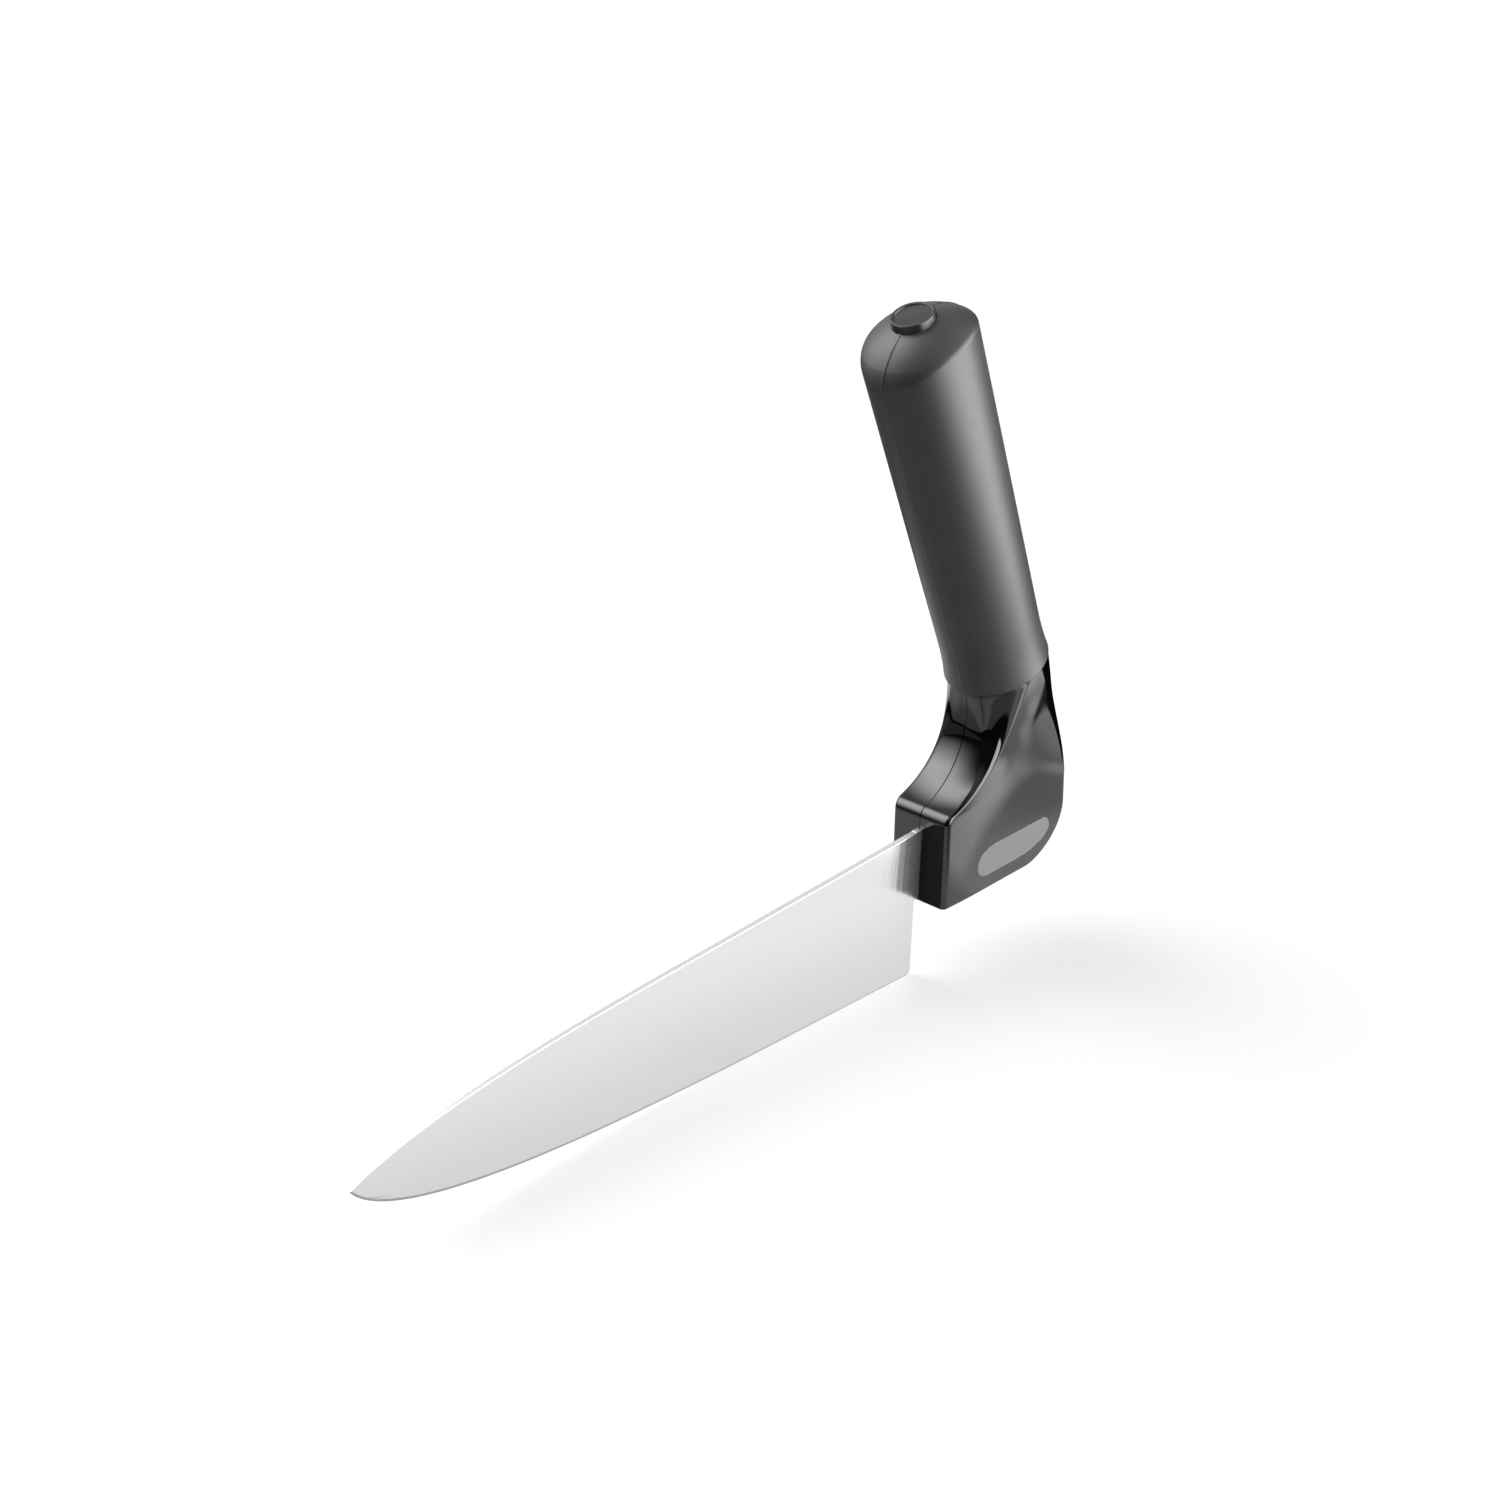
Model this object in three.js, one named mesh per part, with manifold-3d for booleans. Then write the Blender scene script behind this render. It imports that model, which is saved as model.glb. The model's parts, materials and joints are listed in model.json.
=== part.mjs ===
// A kitchen knife for cutting meat, with an upright handle for a straight wrist.
// Millimetres. The tip points to -X, +Z is up and the knife stands on its cutting edge at z = 0.
// The origin lies under the middle of the knife's bounding box.

import * as THREE from "three";
import { mergeVertices, toCreasedNormals } from "three/addons/utils/BufferGeometryUtils.js";
import Module from "manifold-3d";

const wasm = await Module();
wasm.setup();

// Blade: one flat-ground sheet with its tang
const BLADE_LENGTH = 200;
const HEEL_HEIGHT = 46.4;
const TIP_HEIGHT = 19;
const BLADE_THICKNESS = 1.9;
const EDGE_THICKNESS = 0.12;
const BEVEL_HEIGHT = 0.8;
const BEVEL_THICKNESS = 0.5;
const HEEL_ROUND = 1.6;
const EDGE_STRAIGHT = 48;
const EDGE_EASE = 66;
const EDGE_NOSE = { back: 13, down: 18 };
const SPINE_ANGLE = THREE.MathUtils.degToRad(5);
const SPINE_STRAIGHT = 95;
const SPINE_EASE = 50;
const SPINE_NOSE = { back: 19, up: 10.4 };
const TANG_LENGTH = 42;
const TANG_HEIGHT = 14;
const TANG_FLOOR = 4.5;
const TANG_SHOULDER = 4;
const TANG_HOLE_DIAMETER = 5.2;
const TANG_HOLE_PLACES = [14, 33];

// Block: the lower part of the handle, which holds the tang
const BLOCK_TILT = THREE.MathUtils.degToRad(2.6);
const HEEL_STEP = 1.9;
const HEEL_DROP = 23.4;
const BLOCK_WIDTH = 20.6;
const BLOCK_DEPTH = 56.4;
const FACE_HEIGHT = 28.7;
const REAR_ROUND = 19.6;
const EDGE_ROUND = 1.6;
const BROW_ROUND = 3.3;
const BOTTOM_ROUND = 1;
const SCOOP_RADIUS = 24.8;
const SCOOP_CROWN = 2.6;

// Grip: the leaning upper part, which the hand closes round
const GRIP_LEAN = THREE.MathUtils.degToRad(22.4);
const GRIP_SETBACK = 31.6;
const GRIP_RISE = 64.8;
const FOOT_DEPTH = 29.8;
const FOOT_WIDTH = 27.8;
const HEAD_DEPTH = 33.6;
const HEAD_WIDTH = 29.2;
const SLEEVE_LENGTH = 104.2;
const DOME_HEIGHT = 9.9;
const DOME_SETBACK = 1.3;
const RIM_ROUND = 1.2;
const SLEEVE_WALL = 3.2;
const SLEEVE_FLARE = 0.9;
const FLARE_LENGTH = 11;
const NECK_INSET = 0.6;

// Stem: the core inside the sleeve, moulded in one with the block
const STEM_TOP_COVER = 3.4;
const CORE_DIAMETER = 14;
const CORE_FLOOR = 6;
const STEM_WEB = 9;

// End cap: a plug with a raised round face
const CAP_DIAMETER = 11.6;
const CAP_STAND = 2;
const CAP_RIM_WIDTH = 0.9;
const CAP_DISH = 0.5;
const PEG_DIAMETER = 8;
const BARB_DIAMETER = 9.2;
const BARB_LENGTH = 3;

// Inlay on the left side of the block: a plate with an oval corner of its own at each end, above and below
const INLAY_SETBACK = 14.7;
const INLAY_RISE = 4.65;
const INLAY_LENGTH = 33.95;
const INLAY_HEIGHT = 9.25;
const INLAY_LOWER_FRONT = { along: 4.4, up: 4 };
const INLAY_LOWER_REAR = { along: 15.5, up: 5.7 };
const INLAY_UPPER_REAR = { along: 3.4, up: 3.4 };
const INLAY_UPPER_FRONT = { along: 8.3, up: 4.7 };
const INLAY_DEPTH = 1;

// Clearances
const SEAM_GAP = 0.3;
const FIT_GAP = 0.3;
const PEG_GAP = 0.3;

// Facets
const CORNER_STEPS = 7;
const INLAY_STEPS = 10;
const RING_STEPS = 48;
const ROUND_STEPS = 32;

const { lerp, smoothstep } = THREE.MathUtils;
const HALF_TURN = Math.PI;
const QUARTER_TURN = Math.PI / 2;

// Frames: the handle is turned to the block's tilt, and the grip leans inside the handle.
const handleFrame = new THREE.Group();
handleFrame.rotation.y = -BLOCK_TILT;
handleFrame.position.set(
  HEEL_STEP * Math.cos(BLOCK_TILT) - HEEL_DROP * Math.sin(BLOCK_TILT),
  0,
  HEEL_STEP * Math.sin(BLOCK_TILT) + HEEL_DROP * Math.cos(BLOCK_TILT),
);
handleFrame.updateMatrix();
const gripFrame = new THREE.Group();
gripFrame.rotation.y = -GRIP_LEAN;
gripFrame.position.set(GRIP_SETBACK, 0, GRIP_RISE);
gripFrame.updateMatrix();
const knifeToHandle = handleFrame.matrix.clone().invert();

// Solids: a closed three.js geometry becomes a manifold body for joining and cutting.
function solid(geometry) {
  const bare = new THREE.BufferGeometry();
  bare.setAttribute("position", geometry.getAttribute("position").clone());
  if (geometry.index) bare.setIndex(geometry.index.clone());
  const merged = mergeVertices(bare, 1e-4);
  const body = new wasm.Manifold(
    new wasm.Mesh({
      numProp: 3,
      vertProperties: new Float32Array(merged.getAttribute("position").array),
      triVerts: new Uint32Array(merged.index.array),
    }),
  );
  return body;
}

function geometryOf(body) {
  const mesh = body.getMesh();
  const geometry = new THREE.BufferGeometry();
  geometry.setAttribute("position", new THREE.BufferAttribute(new Float32Array(mesh.vertProperties), 3));
  geometry.setIndex(new THREE.BufferAttribute(new Uint32Array(mesh.triVerts), 1));
  return toCreasedNormals(geometry, THREE.MathUtils.degToRad(30));
}

// A skin through closed rings of equally many points, with a fan on each end, facing outwards.
function loft(rings) {
  const count = rings[0].length;
  const points = rings.flat();
  const faces = [];
  for (let row = 0; row + 1 < rings.length; row += 1) {
    for (let i = 0; i < count; i += 1) {
      const next = (i + 1) % count;
      const a = row * count + i;
      const b = row * count + next;
      faces.push(a, b, a + count, b, b + count, a + count);
    }
  }
  const capEnd = (start, outward) => {
    const middle = new THREE.Vector3();
    for (let i = 0; i < count; i += 1) middle.addScaledVector(points[start + i], 1 / count);
    const hub = points.push(middle) - 1;
    for (let i = 0; i < count; i += 1) {
      const a = start + i;
      const b = start + ((i + 1) % count);
      if (outward) faces.push(hub, a, b);
      else faces.push(hub, b, a);
    }
  };
  capEnd(0, false);
  capEnd((rings.length - 1) * count, true);
  let volume = 0;
  for (let i = 0; i < faces.length; i += 3) {
    const [a, b, c] = [points[faces[i]], points[faces[i + 1]], points[faces[i + 2]]];
    volume += a.dot(b.clone().cross(c));
  }
  if (volume < 0) faces.reverse();
  const geometry = new THREE.BufferGeometry().setFromPoints(points);
  geometry.setIndex(faces);
  return geometry;
}

// A flat outline in X and Z, thickened along Y about the given middle.
function plate(shape, thickness, middle = 0, curveSegments = 16) {
  const geometry = new THREE.ExtrudeGeometry(shape, {
    depth: thickness,
    bevelEnabled: false,
    curveSegments,
  });
  geometry.rotateX(QUARTER_TURN);
  geometry.translate(0, middle + thickness / 2, 0);
  return geometry;
}

function rodAlongY(x, z, diameter, from, to) {
  const rod = new THREE.CylinderGeometry(diameter / 2, diameter / 2, to - from, ROUND_STEPS);
  return rod.translate(x, (from + to) / 2, z);
}

function rodUp(diameter, from, to) {
  const rod = new THREE.CylinderGeometry(diameter / 2, diameter / 2, to - from, ROUND_STEPS);
  return rod.rotateX(QUARTER_TURN).translate(0, 0, (from + to) / 2);
}

// Blade outline: the edge and the spine each run straight from the heel and then curve to the tip.
const tip = new THREE.Vector2(-BLADE_LENGTH, TIP_HEIGHT);
const edgeCurve = new THREE.CubicBezierCurve(
  new THREE.Vector2(-EDGE_STRAIGHT, 0),
  new THREE.Vector2(-EDGE_STRAIGHT - EDGE_EASE, 0),
  new THREE.Vector2(tip.x + EDGE_NOSE.back, tip.y - EDGE_NOSE.down),
  tip,
);
const spineAt = (x) => HEEL_HEIGHT + x * Math.tan(SPINE_ANGLE);
const spineCurve = new THREE.CubicBezierCurve(
  tip,
  new THREE.Vector2(tip.x + SPINE_NOSE.back, tip.y + SPINE_NOSE.up),
  new THREE.Vector2(-SPINE_STRAIGHT - SPINE_EASE, spineAt(-SPINE_STRAIGHT - SPINE_EASE)),
  new THREE.Vector2(-SPINE_STRAIGHT, spineAt(-SPINE_STRAIGHT)),
);

function fromHandle(x, z) {
  const point = new THREE.Vector3(x, 0, z).applyMatrix4(handleFrame.matrix);
  return new THREE.Vector2(point.x, point.z);
}

// The part of the outline inside the block, from under the heel step round the tang to the spine.
// Grown by a clearance it is also the pocket that the block holds it in.
function tangOutline(grow) {
  const foot = BOTTOM_ROUND;
  const end = TANG_LENGTH + grow;
  const low = TANG_FLOOR - grow;
  const high = TANG_FLOOR + TANG_HEIGHT + grow;
  const shoulder = TANG_SHOULDER + grow;
  const corner = TANG_HEIGHT / 3;
  const spineEntry = fromHandle(0, 0);
  const spine = new THREE.Vector2(spineEntry.x, spineAt(spineEntry.x));
  const spineInBlock = new THREE.Vector3(spine.x, 0, spine.y).applyMatrix4(knifeToHandle).z + grow;
  return [
    [-HEEL_STEP, foot - grow],
    [shoulder - corner / 2, foot - grow],
    [shoulder, low],
    [end - corner, low],
    [end, low + corner],
    [end, high - corner],
    [end - corner, high],
    [shoulder, high],
    [shoulder, spineInBlock],
    [-HEEL_STEP, spineInBlock],
  ].map(([x, z]) => fromHandle(x, z));
}

function bladeOutline() {
  const shape = new THREE.Shape();
  const heelSide = fromHandle(-HEEL_STEP, HEEL_ROUND - HEEL_DROP);
  shape.moveTo(-EDGE_STRAIGHT, 0);
  shape.lineTo(heelSide.x - HEEL_ROUND, 0);
  shape.quadraticCurveTo(heelSide.x, 0, heelSide.x, HEEL_ROUND);
  tangOutline(0).forEach((point) => shape.lineTo(point.x, point.y));
  shape.lineTo(-SPINE_STRAIGHT, spineAt(-SPINE_STRAIGHT));
  shape.bezierCurveTo(spineCurve.v2.x, spineCurve.v2.y, spineCurve.v1.x, spineCurve.v1.y, tip.x, tip.y);
  shape.bezierCurveTo(edgeCurve.v2.x, edgeCurve.v2.y, edgeCurve.v1.x, edgeCurve.v1.y, -EDGE_STRAIGHT, 0);
  return shape;
}

// The flat grind: two flanks that meet at the edge all along, closing to a fine bevel.
function grind(grow) {
  const rate = (BLADE_THICKNESS - BEVEL_THICKNESS) / 2 / (HEEL_HEIGHT - BEVEL_HEIGHT);
  const reach = HEEL_HEIGHT * 2;
  const below = -EDGE_THICKNESS - BEVEL_HEIGHT;
  const profile = [
    [EDGE_THICKNESS / 2 + grow, below - grow],
    [EDGE_THICKNESS / 2 + grow, 0],
    [BEVEL_THICKNESS / 2 + grow, BEVEL_HEIGHT],
    [BEVEL_THICKNESS / 2 + rate * (reach - BEVEL_HEIGHT) + grow, reach],
  ];
  const section = [...profile, ...profile.map(([y, z]) => [-y, z]).reverse()];
  const past = TANG_LENGTH + BLOCK_DEPTH;
  const stations = [
    new THREE.Vector2(past, 0),
    ...edgeCurve.getPoints(24),
    new THREE.Vector2(tip.x - BEVEL_HEIGHT, tip.y),
  ];
  return loft(stations.map((at) => section.map(([y, z]) => new THREE.Vector3(at.x, y, at.y + z))));
}

function makeBlade() {
  const sheet = solid(plate(bladeOutline(), BLADE_THICKNESS * 2, 0, 24));
  let blade = sheet.intersect(solid(grind(0)));
  for (const place of TANG_HOLE_PLACES) {
    const at = fromHandle(place, TANG_FLOOR + TANG_HEIGHT / 2);
    const hole = rodAlongY(at.x, at.y, TANG_HOLE_DIAMETER, -BLADE_THICKNESS, BLADE_THICKNESS);
    blade = blade.subtract(solid(hole));
  }
  return geometryOf(blade);
}

// The pocket for the tang, in the handle's frame.
function tangPocket() {
  const shape = new THREE.Shape(tangOutline(FIT_GAP));
  const mouth = solid(plate(shape, BLADE_THICKNESS * 3));
  const pocket = geometryOf(mouth.intersect(solid(grind(FIT_GAP))));
  return solid(pocket.applyMatrix4(knifeToHandle));
}

// One cross-section of the block or neck: a rounded rectangle between a front and a rear point
// of the side view. The front may be crowned, so that it is fullest on the middle plane.
function section({ front, rear, half, frontRound, rearRound, crown = 0 }) {
  const along = new THREE.Vector2().subVectors(rear, front);
  const length = along.length();
  along.normalize();
  const roundFront = Math.min(frontRound, half * 0.96, length * 0.46);
  const roundRear = Math.min(rearRound, half * 0.96, length * 0.46);
  let turn = 0;
  let joinAt = half - roundFront;
  for (let pass = 0; pass < 4; pass += 1) {
    turn = Math.atan((2 * crown * joinAt) / (half * half));
    joinAt = half - roundFront + roundFront * Math.sin(turn);
  }
  const crownDepth = (y) => crown * (y / half) ** 2;
  const centreFront = crownDepth(joinAt) + roundFront * Math.cos(turn);
  const side = [];
  for (let i = 0; i <= 2; i += 1) {
    const y = (joinAt * (i + 0.5)) / 3;
    side.push([crownDepth(y), y]);
  }
  for (let i = 0; i <= CORNER_STEPS; i += 1) {
    const angle = lerp(turn, QUARTER_TURN, i / CORNER_STEPS);
    side.push([
      centreFront - roundFront * Math.cos(angle),
      half - roundFront + roundFront * Math.sin(angle),
    ]);
  }
  for (let i = 0; i <= CORNER_STEPS; i += 1) {
    const angle = (QUARTER_TURN * i) / CORNER_STEPS;
    side.push([
      length - roundRear + roundRear * Math.sin(angle),
      half - roundRear + roundRear * Math.cos(angle),
    ]);
  }
  const place = ([p, y]) => new THREE.Vector3(front.x + along.x * p, y, front.y + along.y * p);
  const left = side.map(([p, y]) => [p, -y]);
  return [...left, ...side.reverse()].map(place);
}

// Sizes of the grip at a height s along its own axis.
const footHalf = { depth: FOOT_DEPTH / 2, width: FOOT_WIDTH / 2 };
const headHalf = { depth: HEAD_DEPTH / 2, width: HEAD_WIDTH / 2 };
function gripHalf(s) {
  const share = Math.min(s / SLEEVE_LENGTH, 1);
  return {
    depth: lerp(footHalf.depth, headHalf.depth, share),
    width: lerp(footHalf.width, headHalf.width, share),
  };
}
const domeReach = Math.max(headHalf.depth + DOME_SETBACK, headHalf.width);
const domeRadius = (domeReach ** 2 + DOME_HEIGHT ** 2) / (2 * DOME_HEIGHT);
const domeCentre = SLEEVE_LENGTH + DOME_HEIGHT - domeRadius;
const domeAt = (radius) => domeCentre + Math.sqrt(Math.max(domeRadius ** 2 - radius ** 2, 0));
const stemInset = SLEEVE_WALL + FIT_GAP;
const stemTop = domeAt(headHalf.depth - stemInset) - STEM_TOP_COVER;
const capSeat = domeAt(CAP_DIAMETER / 2);

function inHandle(t, s) {
  const point = new THREE.Vector3(t, 0, s).applyMatrix4(gripFrame.matrix);
  return new THREE.Vector2(point.x, point.z);
}

function gripSection(s, inset) {
  const half = gripHalf(s);
  const depth = half.depth - inset;
  const width = half.width - inset;
  return section({
    front: inHandle(-depth, s),
    rear: inHandle(depth, s),
    half: width,
    frontRound: width,
    rearRound: width,
  });
}

// Side view of the block and neck, in the handle's frame: its lower front corner is the origin.
const neckFront = inHandle(-(footHalf.depth - NECK_INSET), 0);
const neckRear = inHandle(footHalf.depth - NECK_INSET, 0);
const scoopStart = new THREE.Vector2(0, FACE_HEIGHT);
const scoopChord = new THREE.Vector2().subVectors(neckFront, scoopStart);
const scoopCentre = scoopStart
  .clone()
  .lerp(neckFront, 0.5)
  .addScaledVector(
    new THREE.Vector2(-scoopChord.y, scoopChord.x).normalize(),
    Math.sqrt(SCOOP_RADIUS ** 2 - scoopChord.lengthSq() / 4),
  );
const browReach = SCOOP_RADIUS + BROW_ROUND;
const browCentre = new THREE.Vector2(
  BROW_ROUND,
  scoopCentre.y - Math.sqrt(browReach ** 2 - (BROW_ROUND - scoopCentre.x) ** 2),
);
const browAngle = Math.atan2(browCentre.y - scoopCentre.y, browCentre.x - scoopCentre.x);
const neckAngle = Math.atan2(neckFront.y - scoopCentre.y, neckFront.x - scoopCentre.x);
const rearReach = new THREE.Vector2(BLOCK_DEPTH - neckRear.x, neckRear.y - REAR_ROUND);
const rearRadius = rearReach.lengthSq() / (2 * rearReach.x);

function onCircle(centre, radius, angle) {
  return new THREE.Vector2(centre.x + radius * Math.cos(angle), centre.y + radius * Math.sin(angle));
}

// The back of the handle: a round lower corner, and one long curve up to the neck.
function rearAt(z) {
  if (z < REAR_ROUND) {
    const reach = Math.sqrt(REAR_ROUND ** 2 - (REAR_ROUND - z) ** 2);
    return new THREE.Vector2(BLOCK_DEPTH - REAR_ROUND + reach, z);
  }
  const fall = rearRadius - Math.sqrt(rearRadius ** 2 - (z - REAR_ROUND) ** 2);
  return new THREE.Vector2(BLOCK_DEPTH - fall, z);
}

function blockRings() {
  const half = BLOCK_WIDTH / 2;
  const rounds = { frontRound: EDGE_ROUND, rearRound: EDGE_ROUND };
  const rings = [];
  const bottomSteps = 3;
  for (let i = 0; i <= bottomSteps; i += 1) {
    const angle = (QUARTER_TURN * i) / bottomSteps;
    const inset = BOTTOM_ROUND * (1 - Math.sin(angle));
    const z = BOTTOM_ROUND * (1 - Math.cos(angle));
    rings.push(
      section({ front: new THREE.Vector2(inset, z), rear: rearAt(z), half: half - inset, ...rounds }),
    );
  }
  const cornerStart = Math.acos((REAR_ROUND - BOTTOM_ROUND) / REAR_ROUND);
  const cornerSteps = 7;
  for (let i = 1; i <= cornerSteps; i += 1) {
    const angle = lerp(cornerStart, QUARTER_TURN, i / cornerSteps);
    const z = REAR_ROUND * (1 - Math.cos(angle));
    rings.push(section({ front: new THREE.Vector2(0, z), rear: rearAt(z), half, ...rounds }));
  }
  const browSteps = 5;
  for (let i = 0; i <= browSteps; i += 1) {
    const angle = lerp(HALF_TURN, browAngle + HALF_TURN, i / browSteps);
    const front = onCircle(browCentre, BROW_ROUND, angle);
    rings.push(section({ front, rear: rearAt(front.y), half, ...rounds }));
  }
  return rings;
}

// From the brow of the block up to the shoulder that the sleeve stands on. The neck widens late,
// its front edges turn round evenly, and its rear edges turn round in the lower part already.
const NECK_SWELL = 3;
const FRONT_TURN = 1.5;
const REAR_TURN_END = 0.55;
function neckRings() {
  const half = BLOCK_WIDTH / 2;
  const neckHalf = footHalf.width - NECK_INSET;
  const start = onCircle(scoopCentre, SCOOP_RADIUS, browAngle).y;
  const steps = 16;
  const rings = [];
  for (let i = 1; i <= steps; i += 1) {
    const share = i / steps;
    const width = lerp(half, neckHalf, share ** NECK_SWELL);
    rings.push(
      section({
        front: onCircle(scoopCentre, SCOOP_RADIUS, lerp(browAngle, neckAngle, share)),
        rear: rearAt(lerp(start, neckRear.y, share)),
        half: width,
        frontRound: lerp(EDGE_ROUND, width, share ** FRONT_TURN),
        rearRound: lerp(EDGE_ROUND, width, smoothstep(share, 0, REAR_TURN_END)),
        crown: SCOOP_CROWN * Math.sin(HALF_TURN * share),
      }),
    );
  }
  return rings;
}

// Block, neck and stem as one moulding, hollow in the stem, before it is parted on the middle plane.
function handleBody() {
  const stem = [0, 0.5, 1].map((share) => gripSection(stemTop * share, stemInset));
  const outside = solid(loft([...blockRings(), ...neckRings(), ...stem]));
  const webFloor = stemTop - STEM_WEB;
  const hollow = solid(rodUp(CORE_DIAMETER, CORE_FLOOR, webFloor).applyMatrix4(gripFrame.matrix));
  const bore = rodUp(PEG_DIAMETER + 2 * PEG_GAP, webFloor - FIT_GAP, stemTop + FIT_GAP);
  return outside
    .subtract(hollow)
    .subtract(solid(bore.applyMatrix4(gripFrame.matrix)))
    .subtract(tangPocket());
}

function halfSpace(side) {
  const size = BLADE_LENGTH * 4;
  const box = new THREE.BoxGeometry(size, size, size);
  return solid(box.translate(0, side * (size / 2 + SEAM_GAP / 2), 0));
}

const pegPlaces = TANG_HOLE_PLACES.map((x) => [x, TANG_FLOOR + TANG_HEIGHT / 2]);
const pegReach = BLOCK_WIDTH / 4;

// Two corners on one side of the inlay never take up more than the side's length.
const cornerShare = 0.98;
const cornerFit = Math.min(
  1,
  (cornerShare * INLAY_LENGTH) / (INLAY_LOWER_FRONT.along + INLAY_LOWER_REAR.along),
  (cornerShare * INLAY_LENGTH) / (INLAY_UPPER_FRONT.along + INLAY_UPPER_REAR.along),
  (cornerShare * INLAY_HEIGHT) / (INLAY_LOWER_FRONT.up + INLAY_UPPER_FRONT.up),
  (cornerShare * INLAY_HEIGHT) / (INLAY_LOWER_REAR.up + INLAY_UPPER_REAR.up),
);

function inlayShape(grow) {
  const shape = new THREE.Shape();
  const front = INLAY_SETBACK;
  const rear = front + INLAY_LENGTH;
  const low = INLAY_RISE;
  const high = low + INLAY_HEIGHT;
  const corners = [
    [front, low, INLAY_LOWER_FRONT],
    [rear, low, INLAY_LOWER_REAR],
    [rear, high, INLAY_UPPER_REAR],
    [front, high, INLAY_UPPER_FRONT],
  ];
  corners.forEach(([x, z, { along, up }], i) => {
    const reach = along * cornerFit;
    const rise = up * cornerFit;
    const centreX = x === front ? x + reach : x - reach;
    const centreZ = z === low ? z + rise : z - rise;
    const from = HALF_TURN + QUARTER_TURN * i;
    shape.absellipse(centreX, centreZ, reach + grow, rise + grow, from, from + QUARTER_TURN);
  });
  return shape;
}

// The left half carries the pegs that pass through the tang, and the recess for the inlay.
function makeLeftShell(body) {
  let shell = body.intersect(halfSpace(-1));
  for (const [x, z] of pegPlaces) {
    const peg = rodAlongY(x, z, TANG_HOLE_DIAMETER - 2 * PEG_GAP, -pegReach, pegReach);
    shell = shell.add(solid(peg));
  }
  const recess = plate(inlayShape(FIT_GAP / 2), INLAY_DEPTH * 2, -BLOCK_WIDTH / 2, INLAY_STEPS);
  return geometryOf(shell.subtract(solid(recess)));
}

// The right half has the sockets that the pegs are welded into.
function makeRightShell(body) {
  let shell = body.intersect(halfSpace(1));
  for (const [x, z] of pegPlaces) {
    const socket = rodAlongY(x, z, TANG_HOLE_DIAMETER, -SEAM_GAP, pegReach + FIT_GAP);
    shell = shell.subtract(solid(socket));
  }
  return geometryOf(shell);
}

function makeInlay() {
  const thickness = INLAY_DEPTH - FIT_GAP;
  return plate(inlayShape(0), thickness, (thickness - BLOCK_WIDTH) / 2, INLAY_STEPS);
}

// The soft sleeve, in the grip's frame: an oval tube that flares at the foot and ends in a round dome.
function ovalRing(depth, width, height) {
  const ring = [];
  for (let i = 0; i < RING_STEPS; i += 1) {
    const angle = (2 * HALF_TURN * i) / RING_STEPS;
    const t = depth * Math.cos(angle);
    const y = width * Math.sin(angle);
    ring.push(new THREE.Vector3(t, y, height(t, y)));
  }
  return ring;
}

function makeSleeve() {
  const rings = [];
  const footRound = SLEEVE_WALL / 5;
  const wallHeights = [0, 0.025, 0.08, 0.33, 0.67, 1].map((share) => share * FLARE_LENGTH);
  for (const s of wallHeights) {
    const half = gripHalf(s);
    const flare = SLEEVE_FLARE * (1 - s / FLARE_LENGTH) ** 2;
    const ease = footRound * (1 - Math.min(s / footRound, 1)) ** 2;
    rings.push(ovalRing(half.depth + flare - ease, half.width + flare - ease, () => FIT_GAP + s));
  }
  const rimDrop = (t, y) => domeAt(Math.hypot(t - DOME_SETBACK, y));
  const trim = 1 - RIM_ROUND / domeReach;
  const middle = gripHalf(SLEEVE_LENGTH / 2);
  rings.push(ovalRing(middle.depth, middle.width, () => SLEEVE_LENGTH / 2));
  rings.push(ovalRing(headHalf.depth, headHalf.width, (t, y) => rimDrop(t, y) - RIM_ROUND));
  const round = (1 + trim * 2) / 3;
  rings.push(
    ovalRing(headHalf.depth * round, headHalf.width * round, (t, y) => rimDrop(t / round, y / round)),
  );
  const domeSteps = 8;
  for (let i = 0; i < domeSteps; i += 1) {
    const share = trim * Math.cos((QUARTER_TURN * i) / domeSteps);
    rings.push(ovalRing(headHalf.depth * share, headHalf.width * share, rimDrop));
  }
  const roomInset = stemInset - FIT_GAP;
  const gripToHandle = gripFrame.matrix.clone().invert();
  const room = [-SLEEVE_WALL, 0, stemTop + FIT_GAP].map((s) =>
    gripSection(Math.max(s, 0), roomInset).map((point) =>
      point.applyMatrix4(gripToHandle).setZ(s),
    ),
  );
  const pegHole = rodUp(PEG_DIAMETER + 2 * PEG_GAP, stemTop, capSeat + DOME_HEIGHT);
  const seat = rodUp(CAP_DIAMETER + 2 * FIT_GAP, capSeat - CAP_STAND, capSeat + DOME_HEIGHT);
  const body = solid(loft(rings))
    .subtract(solid(loft(room)))
    .subtract(solid(pegHole))
    .subtract(solid(seat));
  return geometryOf(body);
}

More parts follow.
